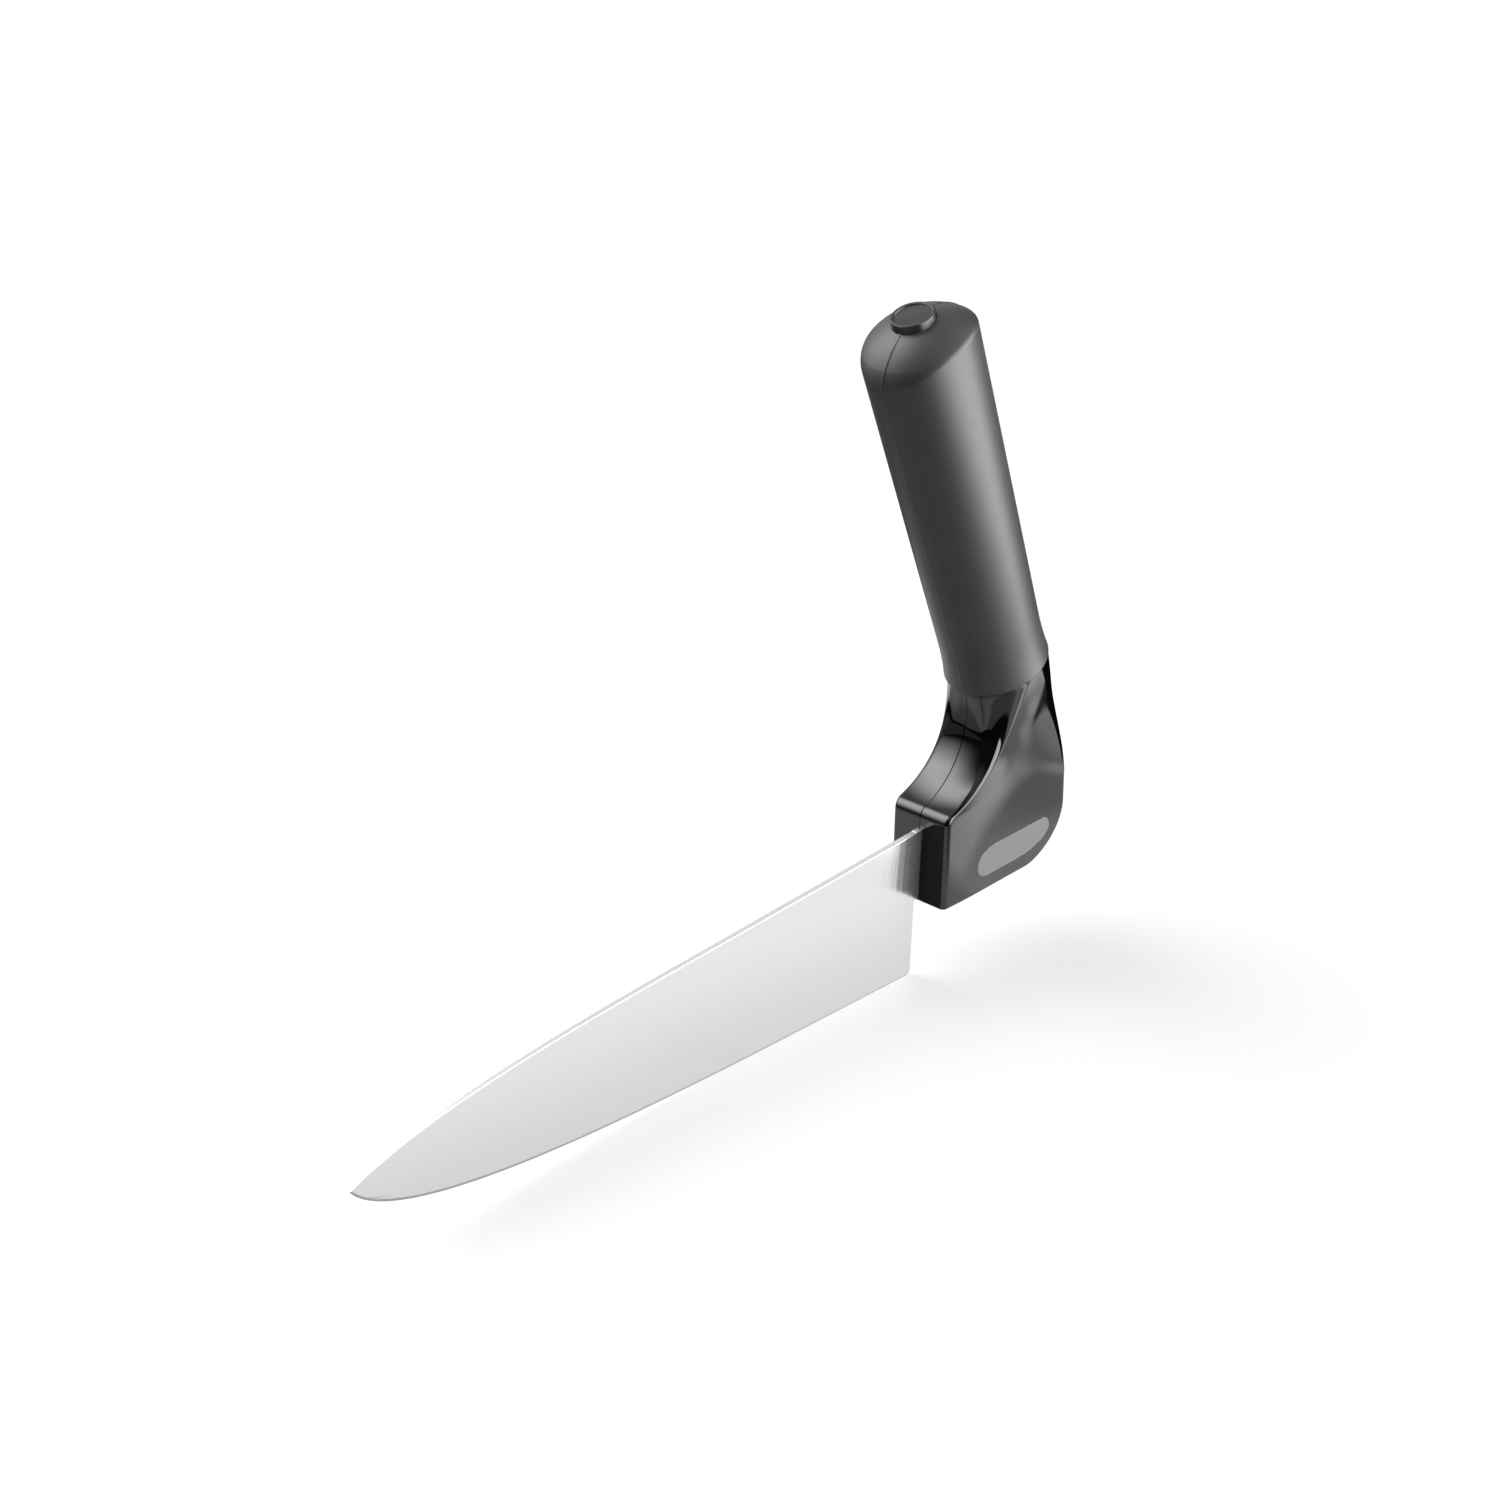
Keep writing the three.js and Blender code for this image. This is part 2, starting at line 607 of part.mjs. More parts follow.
// The cap's profile from the dished face outwards, down the peg to the barb that catches under the web.
function makeCap() {
  const top = capSeat + CAP_STAND;
  const under = capSeat - CAP_STAND + FIT_GAP;
  const radius = CAP_DIAMETER / 2;
  const dish = radius - CAP_RIM_WIDTH;
  const peg = PEG_DIAMETER / 2;
  const barb = BARB_DIAMETER / 2;
  const catchAt = stemTop - STEM_WEB - FIT_GAP * 2;
  const profile = [
    [0, catchAt - BARB_LENGTH],
    [peg - CAP_RIM_WIDTH, catchAt - BARB_LENGTH],
    [barb, catchAt - BARB_LENGTH / 4],
    [barb, catchAt],
    [peg, catchAt],
    [peg, under],
    [radius, under],
    [radius, top - CAP_DISH / 2],
    [radius - CAP_DISH / 2, top],
    [dish, top],
    [dish - CAP_DISH / 2, top - CAP_DISH],
    [0, top - CAP_DISH],
  ].map(([x, y]) => new THREE.Vector2(x, y));
  return new THREE.LatheGeometry(profile, ROUND_STEPS).rotateX(QUARTER_TURN);
}

// Materials
const satinSteel = { color: 0xd4d6d8, roughness: 0.32, metalness: 1 };
const glossBlack = { color: 0x1d1d1f, roughness: 0.16, metalness: 0 };
const softGrey = { color: 0x3a3a3c, roughness: 0.62, metalness: 0 };
const capBlack = { color: 0x232325, roughness: 0.35, metalness: 0 };
const inlayGrey = { color: 0x9b9b9b, roughness: 0.5, metalness: 0 };

function piece(name, geometry, finish) {
  const mesh = new THREE.Mesh(geometry, new THREE.MeshStandardMaterial(finish));
  mesh.name = name;
  return mesh;
}

const body = handleBody();
gripFrame.add(piece("grip_sleeve", makeSleeve(), softGrey));
gripFrame.add(piece("end_cap", makeCap(), capBlack));
handleFrame.add(piece("left_shell", makeLeftShell(body), glossBlack));
handleFrame.add(piece("right_shell", makeRightShell(body), glossBlack));
handleFrame.add(piece("side_inlay", makeInlay(), inlayGrey));
handleFrame.add(gripFrame);

const assembly = new THREE.Group();
assembly.add(piece("blade", makeBlade(), satinSteel));
assembly.add(handleFrame);

// The knife's box is centred on the origin in X and stands on z = 0.
const box = new THREE.Box3().setFromObject(assembly, true);
assembly.position.x = -(box.min.x + box.max.x) / 2;
assembly.position.z = -box.min.z;

const knife = new THREE.Group();
knife.add(assembly);
knife.updateMatrixWorld(true);

export default knife;
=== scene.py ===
# %% [markdown]
# # A meat knife with an upright handle
#
# The knife is five finishes on six pieces: a ground steel blade, a polished black moulding in two
# halves, a matte rubber sleeve, a satin end cap and a grey inlay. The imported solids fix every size
# and place. Each visible piece is modelled again here as a dense, smooth mesh from the same profile
# curves, because polished plastic and ground steel show every facet of a coarse one.

import json
import math

import bmesh
import bpy
from mathutils import Matrix, Vector
from mathutils.geometry import interpolate_bezier


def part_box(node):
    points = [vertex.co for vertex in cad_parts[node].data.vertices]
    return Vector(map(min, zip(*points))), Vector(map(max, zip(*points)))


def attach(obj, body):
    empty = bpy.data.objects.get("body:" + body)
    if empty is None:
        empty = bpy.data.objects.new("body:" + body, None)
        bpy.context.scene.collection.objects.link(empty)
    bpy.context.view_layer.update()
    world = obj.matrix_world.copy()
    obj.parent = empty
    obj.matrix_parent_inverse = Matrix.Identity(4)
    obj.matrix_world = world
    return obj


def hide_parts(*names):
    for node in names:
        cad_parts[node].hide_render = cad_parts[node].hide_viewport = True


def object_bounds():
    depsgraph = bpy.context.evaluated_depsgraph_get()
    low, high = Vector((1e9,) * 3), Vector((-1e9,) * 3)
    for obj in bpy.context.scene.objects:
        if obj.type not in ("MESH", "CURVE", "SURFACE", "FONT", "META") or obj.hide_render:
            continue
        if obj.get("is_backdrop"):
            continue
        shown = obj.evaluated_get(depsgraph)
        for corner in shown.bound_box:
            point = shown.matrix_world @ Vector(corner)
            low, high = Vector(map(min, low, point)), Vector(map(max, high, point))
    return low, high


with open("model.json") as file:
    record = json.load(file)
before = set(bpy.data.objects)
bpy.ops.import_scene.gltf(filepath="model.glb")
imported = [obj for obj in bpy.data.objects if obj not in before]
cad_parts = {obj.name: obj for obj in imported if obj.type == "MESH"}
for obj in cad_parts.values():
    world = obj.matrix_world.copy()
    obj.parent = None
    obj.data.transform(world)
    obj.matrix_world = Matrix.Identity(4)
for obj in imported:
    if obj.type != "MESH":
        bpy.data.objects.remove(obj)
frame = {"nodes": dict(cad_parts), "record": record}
cad_low, cad_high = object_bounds()
MM = 0.001


def in_mm(vector):
    return [round(value / MM, 2) for value in vector]


print("solids:", sorted(frame["nodes"]), "with a size in mm of", in_mm(cad_high - cad_low))

# %% [markdown]
# ## Where things are
#
# Three frames carry the whole knife: the heel of the blade, the block (tilted a little, because the
# knife stands on the straight part of its edge) and the grip, which leans towards the tip. The block's
# tilt and the grip's axis are read from the mounts of the record, so this file has no second copy of them.

# %% Heel, block and grip frames
BLADE_LENGTH = 200 * MM
HEEL_STEP = 1.9 * MM
HEEL_DROP = 23.4 * MM
GRIP_MOUNT_HEIGHT = 52 * MM


def mount(name):
    return next(m for m in frame["record"]["mounts"] if m["name"] == name)


def upright_frame(origin, up):
    """A frame in the knife's middle plane: X to the rear, Y to the right, Z along up."""
    rear = Vector((up.z, 0, -up.x))
    columns = Matrix((rear, Vector((0, 1, 0)), up)).transposed()
    return Matrix.Translation(origin) @ columns.to_4x4()


heel = Vector((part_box("blade")[0].x + BLADE_LENGTH, 0, 0))
block_up = -Vector(mount("block_bottom")["axis"]).normalized()
grip_up = Vector(mount("hand_grip")["axis"]).normalized()
heel_frame = Matrix.Translation(heel)
block_turn = upright_frame(Vector(), block_up)
block_frame = Matrix.Translation(heel) @ block_turn @ Matrix.Translation((HEEL_STEP, 0, HEEL_DROP))
grip_frame = upright_frame(Vector(mount("hand_grip")["pos_m"]) - grip_up * GRIP_MOUNT_HEIGHT, grip_up)
grip_in_block = block_frame.inverted() @ grip_frame
print("heel at", in_mm(heel), "and foot of the grip at", in_mm(grip_frame.translation))

# %% [markdown]
# ## The camera
#
# The camera comes before any surface, so that each piece can be compared with the photograph as it is
# made. Its place and angles were fitted to the outlines of sleeve, block and blade. The picture is
# 1500 pixels square, and a focal length of 2200 pixels is a 52.8 mm lens on a 36 mm sensor.

# %% Camera at the photograph's angle
PICTURE_SIZE = 1500
FOCAL_PIXELS = 2200
SENSOR_WIDTH = 36
CAMERA_FROM_HEEL = Vector((-449.63, -342.03, 305.77)) * MM
CAMERA_TURN = math.radians(47.79)
CAMERA_FALL = math.radians(22.88)
CAMERA_ROLL = math.radians(2.445)
CAMERA_NEAR = 10 * MM


def make_camera():
    data = bpy.data.cameras.new("photo_camera")
    data.sensor_width = SENSOR_WIDTH
    data.lens = FOCAL_PIXELS / PICTURE_SIZE * SENSOR_WIDTH
    data.clip_start = CAMERA_NEAR
    camera = bpy.data.objects.new("photo_camera", data)
    bpy.context.scene.collection.objects.link(camera)
    turn = Matrix.Rotation(-CAMERA_TURN, 4, "Z")
    tilt = Matrix.Rotation(math.pi / 2 - CAMERA_FALL, 4, "X")
    roll = Matrix.Rotation(CAMERA_ROLL, 4, "Z")
    camera.matrix_world = Matrix.Translation(heel + CAMERA_FROM_HEEL) @ turn @ tilt @ roll
    bpy.context.scene.camera = camera
    return camera


camera = make_camera()
bpy.context.scene.view_settings.view_transform = "Standard"
print(f"camera: {camera.data.lens:.1f} mm lens at", in_mm(camera.matrix_world.translation))

# %% [markdown]
# ## Mesh helpers
#
# Nearly every piece is a skin through rings of points. A ring is a plain list of vectors, and a helper
# turns the rings into one closed mesh. Smooth shading with sharp edges by angle keeps the true creases,
# and the Weighted Normal modifier keeps the large flat faces flat next to their round edges.

# %% From rings of points to a mesh object
SAME_PLACE = 1e-7
QUARTER = math.pi / 2


def mix(a, b, share):
    return a + (b - a) * share


def ease(share):
    share = min(max(share, 0.0), 1.0)
    return share * share * (3 - 2 * share)


def object_from(bm, name, matrix):
    """A mesh object in the knife's own frame, facing outwards."""
    bmesh.ops.remove_doubles(bm, verts=bm.verts, dist=SAME_PLACE)
    bmesh.ops.recalc_face_normals(bm, faces=bm.faces)
    mesh = bpy.data.meshes.new(name)
    bm.to_mesh(mesh)
    bm.free()
    mesh.transform(matrix)
    piece = bpy.data.objects.new(name, mesh)
    bpy.context.scene.collection.objects.link(piece)
    return piece


def skin(rings, name, matrix):
    bm = bmesh.new()
    rows = [[bm.verts.new(point) for point in ring] for ring in rings]
    count = len(rows[0])
    for lower, upper in zip(rows, rows[1:]):
        for i in range(count):
            j = (i + 1) % count
            bm.faces.new((lower[i], lower[j], upper[j], upper[i]))
    bm.faces.new(rows[0])
    bm.faces.new(rows[-1])
    return object_from(bm, name, matrix)


print("points closer than", SAME_PLACE / MM, "mm are one point")

# %% Cutting a piece, and giving it shading, material and body in place of its hidden CAD solid
CREASE = math.radians(24)


def apply_modifiers(piece):
    graph = bpy.context.evaluated_depsgraph_get()
    mesh = bpy.data.meshes.new_from_object(piece.evaluated_get(graph))
    piece.modifiers.clear()
    piece.data = mesh
    return piece


def cut(piece, *cutters):
    for cutter in cutters:
        knife_cut = piece.modifiers.new("cut", "BOOLEAN")
        knife_cut.operation = "DIFFERENCE"
        knife_cut.solver = "EXACT"
        knife_cut.object = cutter
    return apply_modifiers(piece)


def finish_piece(piece, node, material, crease=CREASE):
    """Shading, material and body for the piece, and the CAD solid that it stands for is hidden."""
    mesh = piece.data
    for face in mesh.polygons:
        face.use_smooth = True
    mesh.set_sharp_from_angle(angle=crease)
    weighted = piece.modifiers.new("flat_faces_stay_flat", "WEIGHTED_NORMAL")
    weighted.keep_sharp = True
    mesh.materials.clear()
    mesh.materials.append(material)
    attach(piece, "root")
    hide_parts(node)
    print(f"{piece.name}: {len(mesh.polygons)} faces for {node}")
    return piece


print("edges sharper than", round(math.degrees(CREASE)), "degrees stay creases")

# %% [markdown]
# ## Shader helpers
#
# Finishes are node trees, and a few short helpers keep them readable: one adds a node and links or sets
# its inputs by name, one does a sum, and one maps a range to another.

# %% Nodes by name
def new_group(name, inputs, outputs):
    tree = bpy.data.node_groups.new(name, "ShaderNodeTree")
    for label, value in inputs.items():
        socket = tree.interface.new_socket(label, in_out="INPUT", socket_type="NodeSocketFloat")
        socket.default_value = value
    for label in outputs:
        tree.interface.new_socket(label, in_out="OUTPUT", socket_type="NodeSocketFloat")
    start = tree.nodes.new("NodeGroupInput")
    end = tree.nodes.new("NodeGroupOutput")
    return tree, start, end


def add_node(tree, kind, **values):
    """A node whose named inputs or settings are given as plain values or as sockets to link."""
    node = tree.nodes.new(kind)
    for key, value in values.items():
        label = key.replace("_", " ")
        if hasattr(node, key):
            setattr(node, key, value)
        elif isinstance(value, bpy.types.NodeSocket):
            tree.links.new(value, node.inputs[label])
        else:
            node.inputs[label].default_value = value
    return node


def math_node(tree, operation, first, second=0.0):
    node = tree.nodes.new("ShaderNodeMath")
    node.operation = operation
    for socket, value in zip(node.inputs, (first, second)):
        if isinstance(value, bpy.types.NodeSocket):
            tree.links.new(value, socket)
        else:
            socket.default_value = value
    return node.outputs[0]


def range_node(tree, value, low, high, to_low=0.0, to_high=1.0, curve="SMOOTHSTEP"):
    node = tree.nodes.new("ShaderNodeMapRange")
    node.interpolation_type = curve
    tree.links.new(value, node.inputs["Value"])
    labels = ("From Min", "From Max", "To Min", "To Max")
    for label, number in zip(labels, (low, high, to_low, to_high)):
        node.inputs[label].default_value = number
    return node.outputs["Result"]


def place_on_piece(tree):
    """Places in the frame of the knife, in metres, so that every scale counts per metre."""
    return add_node(tree, "ShaderNodeTexCoord").outputs["Object"]


def noise(tree, vector, scale, detail, **values):
    node = add_node(tree, "ShaderNodeTexNoise", Vector=vector, Scale=scale, Detail=detail, **values)
    return node.outputs["Fac"]


print("node helpers for", bpy.app.version_string)

# %% [markdown]
# ### Effects that several finishes share
#
# Two effects return in several finishes, so each is a node group with its own sockets. `moulded_skin`
# gives the slight waviness and pores that any moulded surface has. `handling_marks` is a soft, large
# mask for the faint smears, and a fine one for the specks of dust, that make one area a little duller
# than the next.

# %% The two shared node groups
PORE_DETAIL = 3.0
WAVE_DETAIL = 1.0
SMEAR_DETAIL = 4.0
SMEAR_BEND = 1.2
SMEAR_LIMITS = (0.35, 0.75)
SPECK_LIMITS = (0.04, 0.1)


def make_moulded_skin():
    inputs = {"Pore Scale": 2000.0, "Wave Scale": 60.0, "Wave Share": 0.3}
    tree, start, end = new_group("moulded_skin", inputs, ["Height", "Pores"])
    place = place_on_piece(tree)
    pores = noise(tree, place, start.outputs["Pore Scale"], PORE_DETAIL)
    waves = noise(tree, place, start.outputs["Wave Scale"], WAVE_DETAIL)
    share = start.outputs["Wave Share"]
    rest = math_node(tree, "SUBTRACT", 1.0, share)
    fine = math_node(tree, "MULTIPLY", pores, rest)
    broad = math_node(tree, "MULTIPLY", waves, share)
    tree.links.new(math_node(tree, "ADD", fine, broad), end.inputs["Height"])
    tree.links.new(pores, end.inputs["Pores"])
    return tree


def make_handling_marks():
    inputs = {"Scale": 30.0, "Speck Scale": 900.0}
    tree, start, end = new_group("handling_marks", inputs, ["Smears", "Specks"])
    place = place_on_piece(tree)
    smears = noise(tree, place, start.outputs["Scale"], SMEAR_DETAIL, Distortion=SMEAR_BEND)
    cells = add_node(tree, "ShaderNodeTexVoronoi", Vector=place, Scale=start.outputs["Speck Scale"])
    specks = range_node(tree, cells.outputs["Distance"], *SPECK_LIMITS, 1.0, 0.0)
    tree.links.new(range_node(tree, smears, *SMEAR_LIMITS), end.inputs["Smears"])
    tree.links.new(specks, end.inputs["Specks"])
    return tree


moulded_skin = make_moulded_skin()
handling_marks = make_handling_marks()
for group in (moulded_skin, handling_marks):
    print(group.name, "has the sockets", [item.name for item in group.interface.items_tree])

# %% [markdown]
# ### Finishes
#
# Every finish is a Principled shader in its own material. Values that are even all over are set on its
# sockets, and what changes over the surface is linked: base colour, roughness and bump. The four moulded
# finishes differ only in numbers, so one function makes them all.

# %% Finish builders
MIX_FIRST, MIX_SECOND, MIX_RESULT = 6, 7, 2


def place_group(tree, group, **values):
    node = tree.nodes.new("ShaderNodeGroup")
    node.node_tree = group
    for key, value in values.items():
        node.inputs[key.replace("_", " ")].default_value = value
    return node


def new_finish(name, colour, roughness, **sockets):
    """A material with a Principled shader whose even values are set on its own sockets."""
    material = bpy.data.materials.new(name)
    material.use_nodes = True
    tree = material.node_tree
    shader = tree.nodes["Principled BSDF"]
    shader.inputs["Base Color"].default_value = (*colour, 1)
    shader.inputs["Roughness"].default_value = roughness
    for key, value in sockets.items():
        shader.inputs[key.replace("_", " ")].default_value = value
    return material, tree, shader


def bump(tree, shader, height, strength, distance):
    node = add_node(tree, "ShaderNodeBump", Strength=strength, Distance=distance, Height=height)
    tree.links.new(node.outputs["Normal"], shader.inputs["Normal"])


def colour_between(tree, shader, mask, first, second):
    """The base colour goes from the first to the second colour with a mask."""
    node = tree.nodes.new("ShaderNodeMix")
    node.data_type = "RGBA"
    tree.links.new(mask, node.inputs["Factor"])
    node.inputs[MIX_FIRST].default_value = (*first, 1)
    node.inputs[MIX_SECOND].default_value = (*second, 1)
    tree.links.new(node.outputs[MIX_RESULT], shader.inputs["Base Color"])


def roughness_from(tree, shader, mask, limits, roughness):
    """Roughness goes from its first to its second value while a mask passes its limits."""
    tree.links.new(range_node(tree, mask, *limits, *roughness), shader.inputs["Roughness"])


def moulded_finish(
    name, colours, roughness, marks, grain, relief, coloured_by="Smears", dulled_by="Smears",
    limits=(0.0, 1.0), **sockets
):
    """A moulded plastic or rubber. Marks and grain are values of the groups, relief is that of the bump."""
    material, tree, shader = new_finish(name, colours[0], sum(roughness) / 2, **sockets)
    outputs = {}
    for group, values in ((handling_marks, marks), (moulded_skin, grain)):
        outputs.update(place_group(tree, group, **values).outputs.items())
    colour_between(tree, shader, outputs[coloured_by], *colours)
    roughness_from(tree, shader, outputs[dulled_by], limits, roughness)
    bump(tree, shader, outputs["Height"], *relief)
    return material


print("moulded finishes use", handling_marks.name, "and", moulded_skin.name)

# %% [markdown]
# ## The blade
#
# One sheet of steel, ground flat on both sides from the spine down to a fine bevel, with grinding lines
# that run from spine to edge. Its outline in side view is a straight edge and a straight spine that each
# run into a Bezier curve to the tip.

# %% Blade curves
HEEL_HEIGHT = 46.4 * MM
TIP_HEIGHT = 19 * MM
HEEL_ROUND = 1.6 * MM
EDGE_STRAIGHT = 48 * MM
EDGE_EASE = 66 * MM
EDGE_NOSE = Vector((13, -18)) * MM
SPINE_SLOPE = math.tan(math.radians(5))
SPINE_STRAIGHT = 95 * MM
SPINE_EASE = 50 * MM
SPINE_NOSE = Vector((19, 10.4)) * MM
BLADE_THICKNESS = 1.9 * MM
EDGE_THICKNESS = 0.12 * MM
BEVEL_THICKNESS = 0.5 * MM
BEVEL_HEIGHT = 0.8 * MM
CURVE_POINTS = 200
LEAST_STEP = 1e-9


def spine_line(x):
    return HEEL_HEIGHT + x * SPINE_SLOPE


tip = Vector((-BLADE_LENGTH, TIP_HEIGHT))
edge_curve = interpolate_bezier(
    Vector((-EDGE_STRAIGHT, 0)), Vector((-EDGE_STRAIGHT - EDGE_EASE, 0)), tip + EDGE_NOSE, tip, CURVE_POINTS
)
spine_start = -SPINE_STRAIGHT
spine_handle = -SPINE_STRAIGHT - SPINE_EASE
spine_curve = interpolate_bezier(
    Vector((spine_start, spine_line(spine_start))),
    Vector((spine_handle, spine_line(spine_handle))),
    tip + SPINE_NOSE,
    tip,
    CURVE_POINTS,
)


def on_curve(points, x):
    """Height of a curve that runs towards the tip, at the given place along the blade."""
    for near, far in zip(points, points[1:]):
        if far.x <= x <= near.x:
            return mix(near.y, far.y, (near.x - x) / max(near.x - far.x, LEAST_STEP))
    return points[-1].y


def edge_height(x):
    return 0.0 if x >= -EDGE_STRAIGHT else on_curve(edge_curve, x)


def spine_height(x):
    return spine_line(x) if x >= spine_start else on_curve(spine_curve, x)


GRIND_RATE = (BLADE_THICKNESS - BEVEL_THICKNESS) / 2 / (HEEL_HEIGHT - BEVEL_HEIGHT)


def half_thickness(rise):
    """Half the blade's thickness at a height above its edge."""
    if rise < BEVEL_HEIGHT:
        return mix(EDGE_THICKNESS, BEVEL_THICKNESS, rise / BEVEL_HEIGHT) / 2
    return BEVEL_THICKNESS / 2 + GRIND_RATE * (rise - BEVEL_HEIGHT)


print("spine over the heel, its bend and the tip:", in_mm(map(spine_height, (0, spine_start, tip.x))))

# %% [markdown]
# ### The blade's mesh
#
# A boolean of two plates would do, but it leaves long thin faces that shade badly in a satin metal. Here
# stations run along the blade and rows run from edge to spine, so the faces follow the grind. Low rows
# keep their height above the edge, high rows keep their share of the blade's height, and one of them is
# the foot of the tang: behind the heel only the rows above it go on, into the block.

# %% Blade mesh
SPINE_BREAK = 0.12 * MM
SPINE_ARRIS = ((1.0, 0.0), (0.3, 0.35), (0.0, 1.0))
SPINE_LEAST = 0.3
TANG_DEPTH = 6 * MM
TANG_FOOT = 1 * MM
TANG_SHARES = (0.3, 1.0)
BLADE_STATIONS = 120
STATION_CROWDING = 1.7
TIP_BLUNT = 0.02 * MM
LOW_ROWS = [0.0, 0.35 * MM, BEVEL_HEIGHT, HEEL_ROUND]
LOW_ROWS_NEED = 12 * MM
HIGH_ROWS = [0.12, 0.22, 0.33, 0.43, None, 0.64, 0.75, 0.87]
STEP_ROW = len(LOW_ROWS) + HIGH_ROWS.index(None)
tang_corner = heel_frame.inverted() @ block_frame @ Vector((-HEEL_STEP, 0, TANG_FOOT))
STEP_SHARE = tang_corner.z / HEEL_HEIGHT


def heel_line(z):
    """The heel leans with the block's face, and its lower corner is rounded."""
    lean = tang_corner.x * z / tang_corner.z
    short = max(HEEL_ROUND - z, 0)
    return lean - (HEEL_ROUND - math.sqrt(HEEL_ROUND**2 - short**2))


def blade_column(x):
    """Heights and half thicknesses from edge to spine at one station."""
    low, high = edge_height(x), spine_height(x)
    tall = high - low
    shrink = min(1.0, tall / LOW_ROWS_NEED)
    rises = [row * shrink for row in LOW_ROWS]
    rises += [tall * (STEP_SHARE if share is None else share) for share in HIGH_ROWS]
    column = [(low + rise, half_thickness(rise)) for rise in rises]
    broken = SPINE_BREAK * shrink
    full = half_thickness(tall)
    for below, inwards in SPINE_ARRIS:
        column.append((high - broken * below, max(full - broken * inwards, full * SPINE_LEAST)))
    return column


def make_blade_mesh():
    bm = bmesh.new()
    shares = [i / BLADE_STATIONS for i in range(BLADE_STATIONS + 1)]
    stations = [-BLADE_LENGTH * (1 - (1 - share) ** STATION_CROWDING) for share in reversed(shares)]
    stations[0] += TIP_BLUNT
    columns = [[(x, z, half) for z, half in blade_column(x)] for x in stations]
    columns[-1] = [(heel_line(z), z, half) for _, z, half in columns[-1]]
    for share in TANG_SHARES:
        x = mix(tang_corner.x, tang_corner.x + TANG_DEPTH, share)
        columns.append([(x, z, half) for z, half in blade_column(x)])
    left = [[bm.verts.new((x, -half, z)) for x, z, half in column] for column in columns]
    right = [[bm.verts.new((x, half, z)) for x, z, half in column] for column in columns]
    last = len(columns[0]) - 1
    for i in range(len(columns) - 1):
        first = 0 if i < BLADE_STATIONS else STEP_ROW
        for side in (left, right):
            for j in range(first, last):
                bm.faces.new((side[i][j], side[i + 1][j], side[i + 1][j + 1], side[i][j + 1]))
        for j in (first, last):
            bm.faces.new((left[i][j], left[i + 1][j], right[i + 1][j], right[i][j]))
    ends = ((0, 0, last), (BLADE_STATIONS, 0, STEP_ROW), (len(columns) - 1, STEP_ROW, last))
    for i, start, stop in ends:
        for j in range(start, stop):
            bm.faces.new((left[i][j], left[i][j + 1], right[i][j + 1], right[i][j]))
    blade = object_from(bm, "ground_blade", heel_frame)
    along = blade.data.uv_layers.new(name="along_blade")
    for loop in blade.data.loops:
        place = blade.data.vertices[loop.vertex_index].co
        along.data[loop.index].uv = (place.x, place.z)
    return blade


ground_blade = make_blade_mesh()
print("blade:", len(ground_blade.data.vertices), "points")

# %% [markdown]
# ### Satin steel
#
# The belt that ground the blade left fine lines across it, so highlights spread along the blade. The
# Principled shader's anisotropy does that, with its tangent along the blade from a small UV map. Noise
# stretched along the lines gives hair-fine lines, which vary colour and roughness, and a few broader
# streaks. Both are in the bump, on the flanks alone: they draw the block's dark reflection next to the
# heel out into streaks.

# %% Steel finish
STEEL = (0.70, 0.70, 0.70)
STEEL_DULL = (0.685, 0.686, 0.688)
STEEL_ROUGHNESS = (0.17, 0.21)
STEEL_GLOSS = {"Metallic": 0.87, "Anisotropic": 0.85}
HAIR_LINES = {"across": 5200.0, "along": 40.0, "detail": 3.0}
GRIND_STREAKS = {"across": 700.0, "along": 5.0, "detail": 2.0}
HAIR_LIMITS = (0.3, 0.7)
HAIR_HEIGHT = 0.06
FLANK_FACING = (0.90, 0.98)
GRIND_RELIEF = (0.6, 0.1 * MM)
BLADE_CREASE = math.radians(9)


def grinding_lines(tree, across, along, detail):
    place = place_on_piece(tree)
    stretch = add_node(tree, "ShaderNodeMapping", Vector=place, Scale=(across, across, along))
    return noise(tree, stretch.outputs["Vector"], 1.0, detail)


def make_steel():
    material, tree, shader = new_finish(
        "satin_ground_steel", STEEL, sum(STEEL_ROUGHNESS) / 2, **STEEL_GLOSS
    )
    hair = grinding_lines(tree, **HAIR_LINES)
    streaks = grinding_lines(tree, **GRIND_STREAKS)
    roughness_from(tree, shader, hair, HAIR_LIMITS, STEEL_ROUGHNESS)
    colour_between(tree, shader, range_node(tree, hair, *HAIR_LIMITS), STEEL_DULL, STEEL)
    normal = add_node(tree, "ShaderNodeNewGeometry").outputs["Normal"]
    sideways = add_node(tree, "ShaderNodeSeparateXYZ", Vector=normal).outputs["Y"]
    flank = range_node(tree, math_node(tree, "ABSOLUTE", sideways), *FLANK_FACING)
    fine = math_node(tree, "MULTIPLY", hair, HAIR_HEIGHT)
    ground = math_node(tree, "MULTIPLY", math_node(tree, "ADD", streaks, fine), flank)
    bump(tree, shader, ground, *GRIND_RELIEF)
    tangent = add_node(tree, "ShaderNodeTangent", direction_type="UV_MAP", uv_map="along_blade")
    tree.links.new(tangent.outputs["Tangent"], shader.inputs["Tangent"])
    return material


finish_piece(ground_blade, "blade", make_steel(), BLADE_CREASE)

# %% [markdown]
# ## The moulded body
#
# Block, neck and stem are one moulding, parted on the middle plane. It begins as a flat-sided block whose
# lower rear corner is part of an ellipse, is scooped in front on an arc, swells on the way up and ends as
# the oval neck under the sleeve. Its side view comes first: arcs for the brow, the scoop and the back,
# each worked out from the points that it has to meet.

